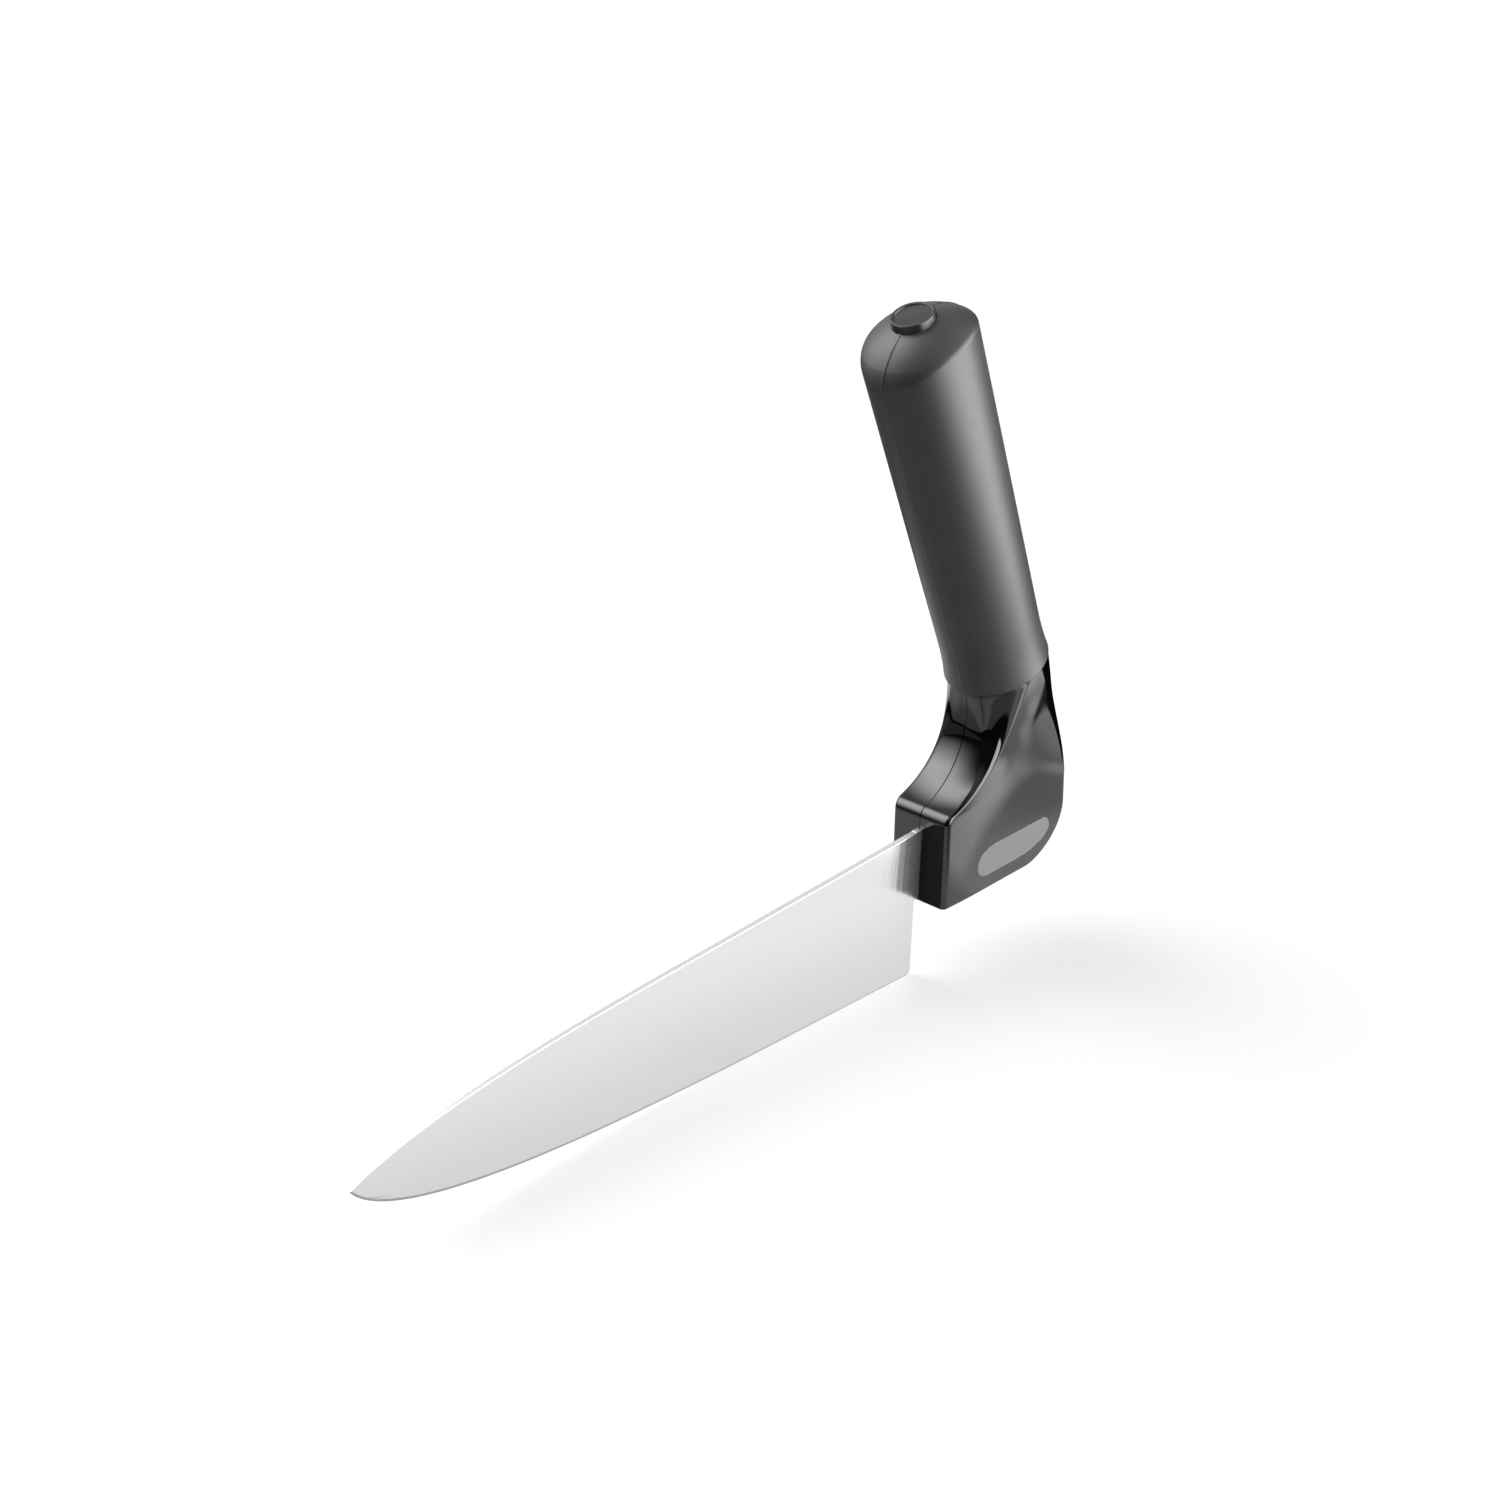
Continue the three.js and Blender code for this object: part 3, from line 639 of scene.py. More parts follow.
# %% Body sizes and side view
BLOCK_WIDTH = 20.6 * MM
BLOCK_DEPTH = 56.21 * MM
FACE_HEIGHT = 28.7 * MM
REAR_ROUND = Vector((21.5, 16)) * MM
EDGE_ROUND = 1.6 * MM
BROW_ROUND = 3.3 * MM
BOTTOM_ROUND = 1 * MM
SCOOP_RADIUS = 24.8 * MM
NECK_INSET = 0.4 * MM
FOOT_HALF = Vector((29.8, 27.8)) / 2 * MM
HEAD_HALF = Vector((33.6, 29.2)) / 2 * MM
SLEEVE_LENGTH = 104.2 * MM
SLEEVE_WALL = 3.2 * MM
STEM_SHOWN = 4 * MM


def flat(x, z):
    """A point of the side view."""
    return Vector((x, z))


def in_block(t, s):
    point = grip_in_block @ Vector((t, 0, s))
    return flat(point.x, point.z)


def on_circle(centre, radius, angle):
    return centre + flat(math.cos(angle), math.sin(angle)) * radius


neck_depth = FOOT_HALF.x - NECK_INSET
neck_width = FOOT_HALF.y - NECK_INSET
neck_front = in_block(-neck_depth, 0)
neck_rear = in_block(neck_depth, 0)
scoop_start = flat(0, FACE_HEIGHT)
scoop_chord = neck_front - scoop_start
scoop_sag = math.sqrt(SCOOP_RADIUS**2 - scoop_chord.length_squared / 4)
scoop_centre = (scoop_start + neck_front) / 2 + flat(-scoop_chord.y, scoop_chord.x).normalized() * scoop_sag
brow_rise = math.sqrt((SCOOP_RADIUS + BROW_ROUND) ** 2 - (BROW_ROUND - scoop_centre.x) ** 2)
brow_centre = flat(BROW_ROUND, scoop_centre.y - brow_rise)
brow_arm = brow_centre - scoop_centre
brow_angle = math.atan2(brow_arm.y, brow_arm.x)
neck_arm = neck_front - scoop_centre
neck_angle = math.atan2(neck_arm.y, neck_arm.x)
rear_reach = flat(BLOCK_DEPTH - neck_rear.x, neck_rear.y - REAR_ROUND.y)
rear_radius = rear_reach.length_squared / (2 * rear_reach.x)


def rear_at(z):
    """The back of the handle: an elliptical lower corner, then one long curve up to the neck."""
    if z < REAR_ROUND.y:
        reach = math.sqrt(1 - (1 - z / REAR_ROUND.y) ** 2)
        return flat(BLOCK_DEPTH - REAR_ROUND.x * (1 - reach), z)
    return flat(BLOCK_DEPTH - rear_radius + math.sqrt(rear_radius**2 - (z - REAR_ROUND.y) ** 2), z)


print(f"radius of the back: {rear_radius / MM:.1f} mm, middle of the scoop:", in_mm(scoop_centre))

# %% [markdown]
# ### Sections of the body
#
# The body is a loft: each section is a rounded rectangle between a front point and a rear point of the
# side view. A half section is enough, because the two halves mirror each other, and a tiny chamfer along
# the parting gives the fine line that shows down the front. Near the front the sides fall in by less than
# half a millimetre, a soft shoulder that only the reflections show.

# %% Half section of the body
SHOULDER_DROP = 0.42 * MM
SHOULDER_REACH = 15 * MM
SEAM_HALF = 0.05 * MM
SEAM_CHAMFER = 0.12 * MM
ROUND_OF_WIDTH = 0.96
ROUND_OF_LENGTH = 0.46
FRONT_STEPS = 8
CORNER_STEPS = 14
SIDE_STEPS = 18
SIDE_CROWDING = 1.5
CROWN_PASSES = 6


def half_section(front, rear, half, front_round, rear_round, crown=0.0, drop=SHOULDER_DROP):
    """Points from the parting in front, round one side, to the parting at the rear."""
    along = rear - front
    length = along.length
    along.normalize()
    largest = min(half * ROUND_OF_WIDTH, length * ROUND_OF_LENGTH)
    front_round = min(front_round, largest)
    rear_round = min(rear_round, largest)
    turn = 0.0
    join = half - front_round
    for _ in range(CROWN_PASSES):
        turn = math.atan(2 * crown * join / half**2)
        join = half - front_round + front_round * math.sin(turn)
    depth = [(SEAM_CHAMFER, SEAM_HALF)]
    for i in range(FRONT_STEPS):
        y = mix(SEAM_HALF + SEAM_CHAMFER, join, i / FRONT_STEPS)
        depth.append((crown * (y / half) ** 2, y))
    corner = crown * (join / half) ** 2 + front_round * math.cos(turn)
    for i in range(CORNER_STEPS + 1):
        angle = mix(turn, QUARTER, i / CORNER_STEPS)
        depth.append((corner - front_round * math.cos(angle), half - front_round * (1 - math.sin(angle))))
    rear_corner = length - rear_round
    for i in range(1, SIDE_STEPS):
        depth.append((mix(corner, rear_corner, (i / SIDE_STEPS) ** SIDE_CROWDING), half))
    for i in range(CORNER_STEPS + 1):
        angle = QUARTER * i / CORNER_STEPS
        inset = rear_round * (1 - math.cos(angle))
        depth.append((rear_corner + rear_round * math.sin(angle), half - inset))
    for i in range(1, FRONT_STEPS + 1):
        depth.append((length, mix(half - rear_round, SEAM_HALF + SEAM_CHAMFER, i / FRONT_STEPS)))
    depth.append((length - SEAM_CHAMFER, SEAM_HALF))
    ring = []
    for p, y in depth:
        y -= drop * y / half * max(1 - p / SHOULDER_REACH, 0) ** 2
        ring.append(Vector((front.x + along.x * p, y, front.y + along.y * p)))
    return ring


foot_section = half_section(flat(0, 0), rear_at(0), BLOCK_WIDTH / 2, EDGE_ROUND, EDGE_ROUND)
print("half a section has", len(foot_section), "points")

# %% Rings from the bottom of the block to the stem
SCOOP_CROWN = 2.6 * MM
NECK_SWELL = 3
FRONT_TURN = 1.5
REAR_TURN = (22 * MM, 57 * MM)
REAR_FULL = 0.86
BOTTOM_STEPS = 6
BLOCK_STEPS = 26
BROW_STEPS = 12
NECK_STEPS = 64


def rear_turn(z, width):
    """The rear edges are broken on the block and swell into the round neck."""
    start, end = REAR_TURN
    return mix(EDGE_ROUND, width * REAR_FULL, ease((z - start) / (end - start)))


def body_rings():
    half = BLOCK_WIDTH / 2
    rings = []
    for i in range(BOTTOM_STEPS + 1):
        angle = QUARTER * i / BOTTOM_STEPS
        inset = BOTTOM_ROUND * (1 - math.sin(angle))
        z = BOTTOM_ROUND * (1 - math.cos(angle))
        rings.append(half_section(flat(inset, z), rear_at(z), half - inset, EDGE_ROUND, EDGE_ROUND))
    corner_start = math.acos(1 - BOTTOM_ROUND / REAR_ROUND.y)
    for i in range(1, BLOCK_STEPS + 1):
        z = REAR_ROUND.y * (1 - math.cos(mix(corner_start, QUARTER, i / BLOCK_STEPS)))
        rings.append(half_section(flat(0, z), rear_at(z), half, EDGE_ROUND, EDGE_ROUND))
    for i in range(BROW_STEPS + 1):
        front = on_circle(brow_centre, BROW_ROUND, mix(math.pi, brow_angle + math.pi, i / BROW_STEPS))
        rings.append(half_section(front, rear_at(front.y), half, EDGE_ROUND, rear_turn(front.y, half)))
    start = on_circle(scoop_centre, SCOOP_RADIUS, brow_angle).y
    for i in range(1, NECK_STEPS + 1):
        share = i / NECK_STEPS
        width = mix(half, neck_width, share**NECK_SWELL)
        rear = rear_at(mix(start, neck_rear.y, share))
        rings.append(
            half_section(
                on_circle(scoop_centre, SCOOP_RADIUS, mix(brow_angle, neck_angle, share)),
                rear,
                width,
                mix(EDGE_ROUND, width, share**FRONT_TURN),
                rear_turn(rear.y, width),
                SCOOP_CROWN * math.sin(math.pi * share),
                SHOULDER_DROP * (1 - share),
            )
        )
    depth, width = FOOT_HALF.x - SLEEVE_WALL, FOOT_HALF.y - SLEEVE_WALL
    for rise in (0.0, STEM_SHOWN):
        ends = (in_block(-depth, rise), in_block(depth, rise))
        rings.append(half_section(*ends, width, width, width, drop=0.0))
    return rings


print("the body is a loft of", len(body_rings()), "rings")

# %% [markdown]
# ### The two halves, the slot and the recess
#
# The blade passes into the block through a slot that fits its wedge, and the inlay lies in a shallow
# recess on the left. Both are boolean cuts with exact solving, made on the dense halves.

# %% Cutters for slot and recess
SLOT_PLAY = 0.05 * MM
SLOT_DEPTH = 7 * MM
RECESS_PLAY = 0.06 * MM
INLAY_LOW = Vector((14.7, 4.65)) * MM
INLAY_HIGH = Vector((48.65, 13.9)) * MM
INLAY_DEPTH = 0.7 * MM
INLAY_CORNERS = (
    (Vector((-1, -1)), Vector((4.4, 4.0)) * MM),
    (Vector((1, -1)), Vector((15.5, 5.7)) * MM),
    (Vector((1, 1)), Vector((3.4, 3.4)) * MM),
    (Vector((-1, 1)), Vector((8.3, 4.7)) * MM),
)
INLAY_CORNER_STEPS = 24


def make_slot_cutter():
    """A wedge that follows the blade's flanks, a little wider than the blade."""
    rings = []
    for x in (tang_corner.x - SLOT_DEPTH, tang_corner.x + HEEL_STEP + SLOT_DEPTH):
        low = tang_corner.z - SLOT_PLAY
        high = spine_line(x) + SLOT_PLAY
        wide = [half_thickness(z) + SLOT_PLAY for z in (low, high)]
        corners = ((-wide[0], low), (wide[0], low), (wide[1], high), (-wide[1], high))
        rings.append([Vector((x, y, z)) for y, z in corners])
    return skin(rings, "slot_cutter", heel_frame)


def inlay_outline(grow, y):
    """A plate with four elliptical corners: tight in front below and behind above, long at the others."""
    ring = []
    for number, (side, radii) in enumerate(INLAY_CORNERS):
        corner = flat(*(INLAY_HIGH[i] if side[i] > 0 else INLAY_LOW[i] for i in (0, 1)))
        centre = corner - Vector((side.x * radii.x, side.y * radii.y))
        for i in range(INLAY_CORNER_STEPS + 1):
            angle = math.pi + QUARTER * (number + i / INLAY_CORNER_STEPS)
            x = centre.x + (radii.x + grow) * math.cos(angle)
            z = centre.y + (radii.y + grow) * math.sin(angle)
            ring.append(Vector((x, y, z)))
    return ring


def make_recess_cutter():
    side = -BLOCK_WIDTH / 2
    depths = (side + INLAY_DEPTH, side - INLAY_DEPTH)
    return skin([inlay_outline(RECESS_PLAY, y) for y in depths], "recess_cutter", block_frame)


slot_cutter = make_slot_cutter()
recess_cutter = make_recess_cutter()
print("cutters:", slot_cutter.name, recess_cutter.name)


# %% The two halves
def make_shell(name, side, cutters):
    rings = [[Vector((p.x, side * p.y, p.z)) for p in ring] for ring in body_rings()]
    return cut(skin(rings, name, block_frame), *cutters)


left_half = make_shell("left_half", -1, (slot_cutter, recess_cutter))
right_half = make_shell("right_half", 1, (slot_cutter,))
for cutter in (slot_cutter, recess_cutter):
    bpy.data.objects.remove(cutter)
print("halves:", len(left_half.data.vertices), "and", len(right_half.data.vertices), "points")

# %% [markdown]
# ### Polished black plastic
#
# The moulding came from a polished tool: nearly black, with a clear gloss that mirrors the table, the
# window and the panel. A trace of waviness bends the reflections as real mouldings do, and faint smears
# make the gloss uneven.

# %% Polished plastic finish
SHELL_BLACK = (0.0016, 0.0016, 0.0017)
SHELL_WORN = (0.004, 0.004, 0.0042)
polished_black = moulded_finish(
    "polished_black",
    colours=(SHELL_BLACK, SHELL_WORN),
    roughness=(0.04, 0.08),
    marks={"Scale": 45.0, "Speck_Scale": 700.0},
    grain={"Pore_Scale": 2600.0, "Wave_Scale": 90.0, "Wave_Share": 0.97},
    relief=(0.05, 0.2 * MM),
    coloured_by="Specks",
    IOR=1.52,
)
finish_piece(left_half, "left_shell", polished_black)
finish_piece(right_half, "right_shell", polished_black)

# %% [markdown]
# ## The grey inlay
#
# A thin plate with four elliptical corners, let into the left side flush with the block. It is a skin
# through rings of the recess's own outline, so that it fits it, and its edge is broken by a hair so that
# it reads as a separate piece. The finish is an even satin grey.

# %% Inlay
INLAY_BREAK = 0.08 * MM
INLAY_FOOT = 0.9 * INLAY_DEPTH
INLAY_ARRIS = ((0.0, 1.0), (0.3, 0.3), (1.0, 0.0))
INLAY_GREY = (0.25, 0.25, 0.25)
INLAY_PALE = (0.27, 0.27, 0.27)


def make_inlay_mesh():
    side = -BLOCK_WIDTH / 2
    rings = [inlay_outline(0.0, side + INLAY_FOOT)]
    for inwards, below in INLAY_ARRIS:
        rings.append(inlay_outline(-INLAY_BREAK * inwards, side + INLAY_BREAK * below))
    return skin(rings, "oval_inlay", block_frame)


satin_grey = moulded_finish(
    "satin_grey",
    colours=(INLAY_GREY, INLAY_PALE),
    roughness=(0.42, 0.5),
    marks={"Scale": 60.0, "Speck_Scale": 1200.0},
    grain={"Pore_Scale": 3000.0, "Wave_Scale": 200.0, "Wave_Share": 0.2},
    relief=(0.08, 0.06 * MM),
)
finish_piece(make_inlay_mesh(), "side_inlay", satin_grey)

# %% [markdown]
# ## The soft sleeve
#
# A tube of matte rubber, oval in section, that widens towards the top, flares a little at its foot and
# ends in a dome. The dome is part of a sphere, and where it meets the oval tube the rim arches up at the
# sides. A fine raised line, left where the two mould halves met, runs over the dome and fades on the wall.
# The rings carry extra points near that line, so it is real geometry.

# %% Sleeve sizes
DOME_HEIGHT = 9.9 * MM
DOME_SETBACK = 1.3 * MM
RIM_ROUND = 0.8 * MM
RIM_ROUND_FRONT = 2.4 * MM
RIM_TURN = 3
FLARE = 0.76 * MM
FLARE_LENGTH = 11 * MM
FOOT_GAP = 0.25 * MM
FOOT_ROUND = 0.35 * MM
CAP_RADIUS = 5.8 * MM
SEAT_PLAY = 0.15 * MM
SEAT_SINK = 1.2 * MM
LINE_HALF_WIDTH = 0.42 * MM
LINE_HEIGHT = 0.13 * MM
LINE_FADE = 14 * MM
dome_reach = max(HEAD_HALF.x + DOME_SETBACK, HEAD_HALF.y)
dome_radius = (dome_reach**2 + DOME_HEIGHT**2) / (2 * DOME_HEIGHT)
dome_centre = SLEEVE_LENGTH + DOME_HEIGHT - dome_radius
cap_seat = dome_centre + math.sqrt(dome_radius**2 - CAP_RADIUS**2)


def dome_at(t, y):
    return dome_centre + math.sqrt(max(dome_radius**2 - (t - DOME_SETBACK) ** 2 - y**2, 0))


print(f"dome: radius {dome_radius / MM:.1f} mm, seat of the cap {cap_seat / MM:.1f} mm above the foot")

# %% Points round a ring, and the mould line
RING_POINTS = 168
LINE_POINTS = (-1.6, -1.15, -0.95, -0.7, -0.35, 0.0, 0.35, 0.7, 0.95, 1.15, 1.6)
LINE_CLEAR = 2.2
LINE_FLAT = 0.6
LINE_SIDE = 0.5
FULL_TURN = 2 * math.pi


def ring_angles():
    """Even steps round the oval, with closer points at the mould line in front and at the rear."""
    line_angle = LINE_HALF_WIDTH / HEAD_HALF.x
    angles = []
    for i in range(RING_POINTS):
        angle = FULL_TURN * i / RING_POINTS
        to_line = min(abs(math.remainder(angle - middle, FULL_TURN)) for middle in (0.0, math.pi))
        if to_line > LINE_CLEAR * line_angle:
            angles.append(angle)
    for middle in (0.0, math.pi):
        angles += [middle + place * line_angle for place in LINE_POINTS]
    return sorted(angle % FULL_TURN for angle in angles)


ANGLES = ring_angles()


def line_profile(y):
    """A low ridge with a flat top and steep sides."""
    return 1 - ease((abs(y) / LINE_HALF_WIDTH - LINE_FLAT) / LINE_SIDE)


def wall_point(half, angle):
    """A point of an oval with these half sizes, and the direction out of the oval there."""
    point = Vector((half.x * math.cos(angle), half.y * math.sin(angle)))
    out = Vector((math.cos(angle) / half.x, math.sin(angle) / half.y)).normalized()
    return point, out


def sleeve_half(s):
    share = min(max(s / SLEEVE_LENGTH, 0), 1)
    return HEAD_HALF * share + FOOT_HALF * (1 - share)


def rim_round(angle):
    """The rim is crisp at the sides and behind, and softer in front."""
    return mix(RIM_ROUND, RIM_ROUND_FRONT, max(-math.cos(angle), 0.0) ** RIM_TURN)


print("a ring of the sleeve has", len(ANGLES), "points")

# %% Foot and wall of the sleeve
FOOT_STEPS = 5
WALL_STEPS = 40
WALL_CROWDING = 1.3
WALL_COVER = 0.9
LINE_ON_WALL = 0.25


def foot_rings():
    """The open foot: down the inside, which the stem hides, then round the lower edge."""
    inner = FOOT_HALF - Vector((SLEEVE_WALL, SLEEVE_WALL)) * WALL_COVER
    levels = [(inner, FOOT_GAP + STEM_SHOWN), (inner, FOOT_GAP)]
    for i in range(FOOT_STEPS + 1):
        angle = QUARTER * i / FOOT_STEPS
        grow = FLARE - FOOT_ROUND * (1 - math.sin(angle))
        level = FOOT_GAP + FOOT_ROUND * (1 - math.cos(angle))
        levels.append((FOOT_HALF + Vector((grow, grow)), level))
    rings = []
    for half, level in levels:
        points = (wall_point(half, angle)[0] for angle in ANGLES)
        rings.append([Vector((point.x, point.y, level)) for point in points])
    return rings


def wall_rings():
    low = FOOT_GAP + FOOT_ROUND
    rings = []
    for i in range(1, WALL_STEPS + 1):
        share = (i / WALL_STEPS) ** WALL_CROWDING
        level = mix(low, SLEEVE_LENGTH, share)
        flare = FLARE * max(1 - (level - low) / FLARE_LENGTH, 0) ** 2
        half = sleeve_half(level) + Vector((flare, flare))
        fade = ease(1 - (SLEEVE_LENGTH - level) / LINE_FADE)
        ring = []
        for angle in ANGLES:
            point, out = wall_point(half, angle)
            top = dome_at(*wall_point(HEAD_HALF, angle)[0]) - rim_round(angle)
            point += out * LINE_HEIGHT * mix(LINE_ON_WALL, 1.0, fade) * line_profile(point.y)
            ring.append(Vector((point.x, point.y, mix(low, top, share))))
        rings.append(ring)
    return rings


print("rings of the foot and the wall:", len(foot_rings()), len(wall_rings()))

# %% Rim and dome of the sleeve
RIM_STEPS = 9
DOME_STEPS = 40
SEAT_STEP = 0.1 * MM
SEAT_LEVELS = (0.15 * MM, SEAT_SINK)


def on_dome(point):
    """A point of the dome over a place in plan, lifted along the mould line."""
    place = Vector((point.x, point.y, dome_at(point.x, point.y)))
    out = (place - Vector((DOME_SETBACK, 0, dome_centre))).normalized()
    return place + out * LINE_HEIGHT * line_profile(point.y)


def rim_and_dome_rings():
    """Over the rim on a short curve from wall to dome, then in to the round seat of the cap."""
    seat = CAP_RADIUS + SEAT_PLAY
    rings = [[] for _ in range(RIM_STEPS + DOME_STEPS)]
    for angle in ANGLES:
        wall, out = wall_point(HEAD_HALF, angle)
        size = rim_round(angle)
        edge = wall - out * size
        lift = (out * LINE_HEIGHT * line_profile(wall.y)).to_3d()
        corner = Vector((wall.x, wall.y, dome_at(*wall))) + lift
        start = corner - Vector((0, 0, size))
        end = on_dome(edge)
        for i in range(RIM_STEPS):
            share = (i + 1) / RIM_STEPS
            rings[i].append(mix(mix(start, corner, share), mix(corner, end, share), share))
        rim = Vector((seat * math.cos(angle), seat * math.sin(angle)))
        for i in range(DOME_STEPS):
            rings[RIM_STEPS + i].append(on_dome(mix(edge, rim, (i + 1) / DOME_STEPS)))
    sunk = seat - SEAT_STEP
    for sink in SEAT_LEVELS:
        rings.append([Vector((sunk * math.cos(a), sunk * math.sin(a), cap_seat - sink)) for a in ANGLES])
    return rings


soft_sleeve = skin(foot_rings() + wall_rings() + rim_and_dome_rings(), "soft_sleeve", grip_frame)
print("sleeve:", len(soft_sleeve.data.vertices), "points")

# %% [markdown]
# ### Matte rubber
#
# Soft-touch rubber scatters light from a fine, even skin: dark grey, broad soft highlights, and a faint
# pale bloom where hands have rubbed it. Roughness and bump come from the same two shared groups.

# %% Rubber finish
RUBBER_GREY = (0.019, 0.019, 0.0195)
RUBBER_BLOOM = (0.025, 0.025, 0.0255)
SLEEVE_CREASE = math.radians(40)
matte_rubber = moulded_finish(
    "matte_rubber",
    colours=(RUBBER_GREY, RUBBER_BLOOM),
    roughness=(0.41, 0.47),
    marks={"Scale": 28.0, "Speck_Scale": 1400.0},
    grain={"Pore_Scale": 3200.0, "Wave_Scale": 240.0, "Wave_Share": 0.25},
    relief=(0.12, 0.08 * MM),
    dulled_by="Pores",
    limits=(0.3, 0.7),
    IOR=1.5,
)
finish_piece(soft_sleeve, "grip_sleeve", matte_rubber, SLEEVE_CREASE)

# %% [markdown]
# ## The end cap
#
# A round plug closes the dome: a short wall, a raised rim and a plain face sunk a little below it. It is
# turned from a profile, with every corner broken, and pressed into its seat. Its plastic is a satin black,
# a little paler where it was handled.

# %% End cap
CAP_STAND = 1.96 * MM
CAP_RIM = 0.9 * MM
CAP_DISH = 0.4 * MM
CAP_BREAK = 0.18 * MM
CAP_FOOT = 0.9 * SEAT_SINK
CAP_STEPS = 128
CAP_BLACK = (0.006, 0.006, 0.0062)
CAP_PALE = (0.011, 0.011, 0.0113)


def make_cap_mesh():
    top = cap_seat + CAP_STAND
    dish = CAP_RADIUS - CAP_RIM
    profile = [
        (CAP_RADIUS, cap_seat - CAP_FOOT),
        (CAP_RADIUS, top - CAP_BREAK * 1.4),
        (CAP_RADIUS - CAP_BREAK * 0.3, top - CAP_BREAK * 0.5),
        (CAP_RADIUS - CAP_BREAK, top),
        (dish + CAP_BREAK, top),
        (dish + CAP_BREAK * 0.3, top - CAP_BREAK * 0.3),
        (dish, top - CAP_BREAK),
        (dish - CAP_BREAK, top - CAP_DISH),
        (dish * 0.5, top - CAP_DISH),
        (dish * 0.02, top - CAP_DISH),
    ]
    rings = []
    for radius, height in profile:
        angles = (FULL_TURN * i / CAP_STEPS for i in range(CAP_STEPS))
        rings.append([Vector((radius * math.cos(a), radius * math.sin(a), height)) for a in angles])
    return skin(rings, "round_cap", grip_frame)


satin_black = moulded_finish(
    "satin_black",
    colours=(CAP_BLACK, CAP_PALE),
    roughness=(0.28, 0.4),
    marks={"Scale": 90.0, "Speck_Scale": 1500.0},
    grain={"Pore_Scale": 2400.0, "Wave_Scale": 300.0, "Wave_Share": 0.3},
    relief=(0.12, 0.08 * MM),
    IOR=1.5,
)
finish_piece(make_cap_mesh(), "end_cap", satin_black)

# %% [markdown]
# ## Stage
#
# Gloss is only as good as what it mirrors. The polished moulding shows a large soft window of light, a tall
# panel opposite to it, a white table that ends about 20 cm from the knife, and a dark room. Window and table
# are drawn with soft masks, multiplied and added, so a few helpers for masks come first.

# %% Masks
def product(tree, first, *others):
    for other in others:
        first = math_node(tree, "MULTIPLY", first, other)
    return first


def added(tree, first, *others):
    for other in others:
        first = math_node(tree, "ADD", first, other)
    return first


def all_but(tree, mask):
    return math_node(tree, "SUBTRACT", 1.0, mask)


def fade_in(tree, value, limits, curve="SMOOTHSTEP"):
    return range_node(tree, value, *limits, 0.0, 1.0, curve)


def fade_out(tree, value, limits):
    return range_node(tree, value, *limits, 1.0, 0.0)


print("masks:", [helper.__name__ for helper in (product, added, all_but, fade_in, fade_out)])

# %% [markdown]
# ### The room
#
# Area lamps could stand for the window, but their edges are hard and mirrored as such. So the window is
# drawn into the world by direction: how far a direction turns away from the window's middle, and how high
# it rises. Each pair of degrees is where an edge starts to fade and where it ends. A dim wall and a ceiling
# that brightens upwards fill the rest. The camera itself sees plain white.

# %% World: white to the camera, a soft window of light to the knife
WINDOW_AZIMUTH = math.radians(127)
WINDOW_LIGHT = 7.4
WINDOW_RIGHT = (-70, -9)
WINDOW_LEFT = (0, 50)
WINDOW_FOOT = (1, 33)
WINDOW_SLANT = -0.15
WINDOW_TOP = (62, 74)
WALL_RIGHT = (-105, -88)
WALL_LEFT = (-70, -55)
WALL_FOOT = (0, 8)
WALL_TOP = (45, 60)
WALL_LIGHT = 0.8
CEILING_FOOT = (20, 60)
CEILING_LIGHT = 0.7
ROOM_LIGHT = 0.03


def turn_and_rise(tree):
    """Degrees round from the window's middle, and degrees above the table, of a direction."""
    direction = add_node(tree, "ShaderNodeTexCoord").outputs["Generated"]
    turned = add_node(
        tree, "ShaderNodeVectorRotate", rotation_type="Z_AXIS", Vector=direction, Angle=-WINDOW_AZIMUTH
    )
    x, y, z = add_node(tree, "ShaderNodeSeparateXYZ", Vector=turned.outputs["Vector"]).outputs
    turn = math_node(tree, "DEGREES", math_node(tree, "ARCTAN2", y, x))
    return turn, math_node(tree, "DEGREES", math_node(tree, "ARCSINE", z))


def room_light(tree):
    turn, rise = turn_and_rise(tree)
    slanted = added(tree, rise, product(tree, turn, WINDOW_SLANT))
    window = product(
        tree,
        fade_in(tree, turn, WINDOW_RIGHT),
        fade_out(tree, turn, WINDOW_LEFT),
        fade_in(tree, slanted, WINDOW_FOOT, "LINEAR"),
        fade_out(tree, rise, WINDOW_TOP),
        WINDOW_LIGHT,
    )
    wall = product(
        tree,
        fade_in(tree, turn, WALL_RIGHT),
        fade_out(tree, turn, WALL_LEFT),
        fade_in(tree, rise, WALL_FOOT),
        fade_out(tree, rise, WALL_TOP),
        WALL_LIGHT,
    )
    ceiling = product(tree, fade_in(tree, rise, CEILING_FOOT), CEILING_LIGHT)
    return math_node(tree, "MAXIMUM", added(tree, window, wall, ROOM_LIGHT), ceiling)


def make_room():
    world = bpy.data.worlds.new("studio_room")
    world.use_nodes = True
    tree = world.node_tree
    seen = add_node(tree, "ShaderNodeLightPath").outputs["Is Camera Ray"]
    strength = added(tree, product(tree, room_light(tree), all_but(tree, seen)), seen)
    tree.links.new(strength, tree.nodes["Background"].inputs["Strength"])
    tree.nodes["Background"].inputs["Color"].default_value = (1, 1, 1, 1)
    bpy.context.scene.world = world
    return world


studio_room = make_room()
print("room:", len(studio_room.node_tree.nodes), "nodes")

# %% [markdown]
# ### The table as the knife mirrors it
#
# The table is white to the camera everywhere. Mirrored in the polished block it is a finite table: its
# brightness changes along the knife (x, in metres) and to both sides of it, and it is dark past its edges.
# These values were set by working out which place on the table each part of the gloss mirrors, and then
# comparing its tone with the photograph.

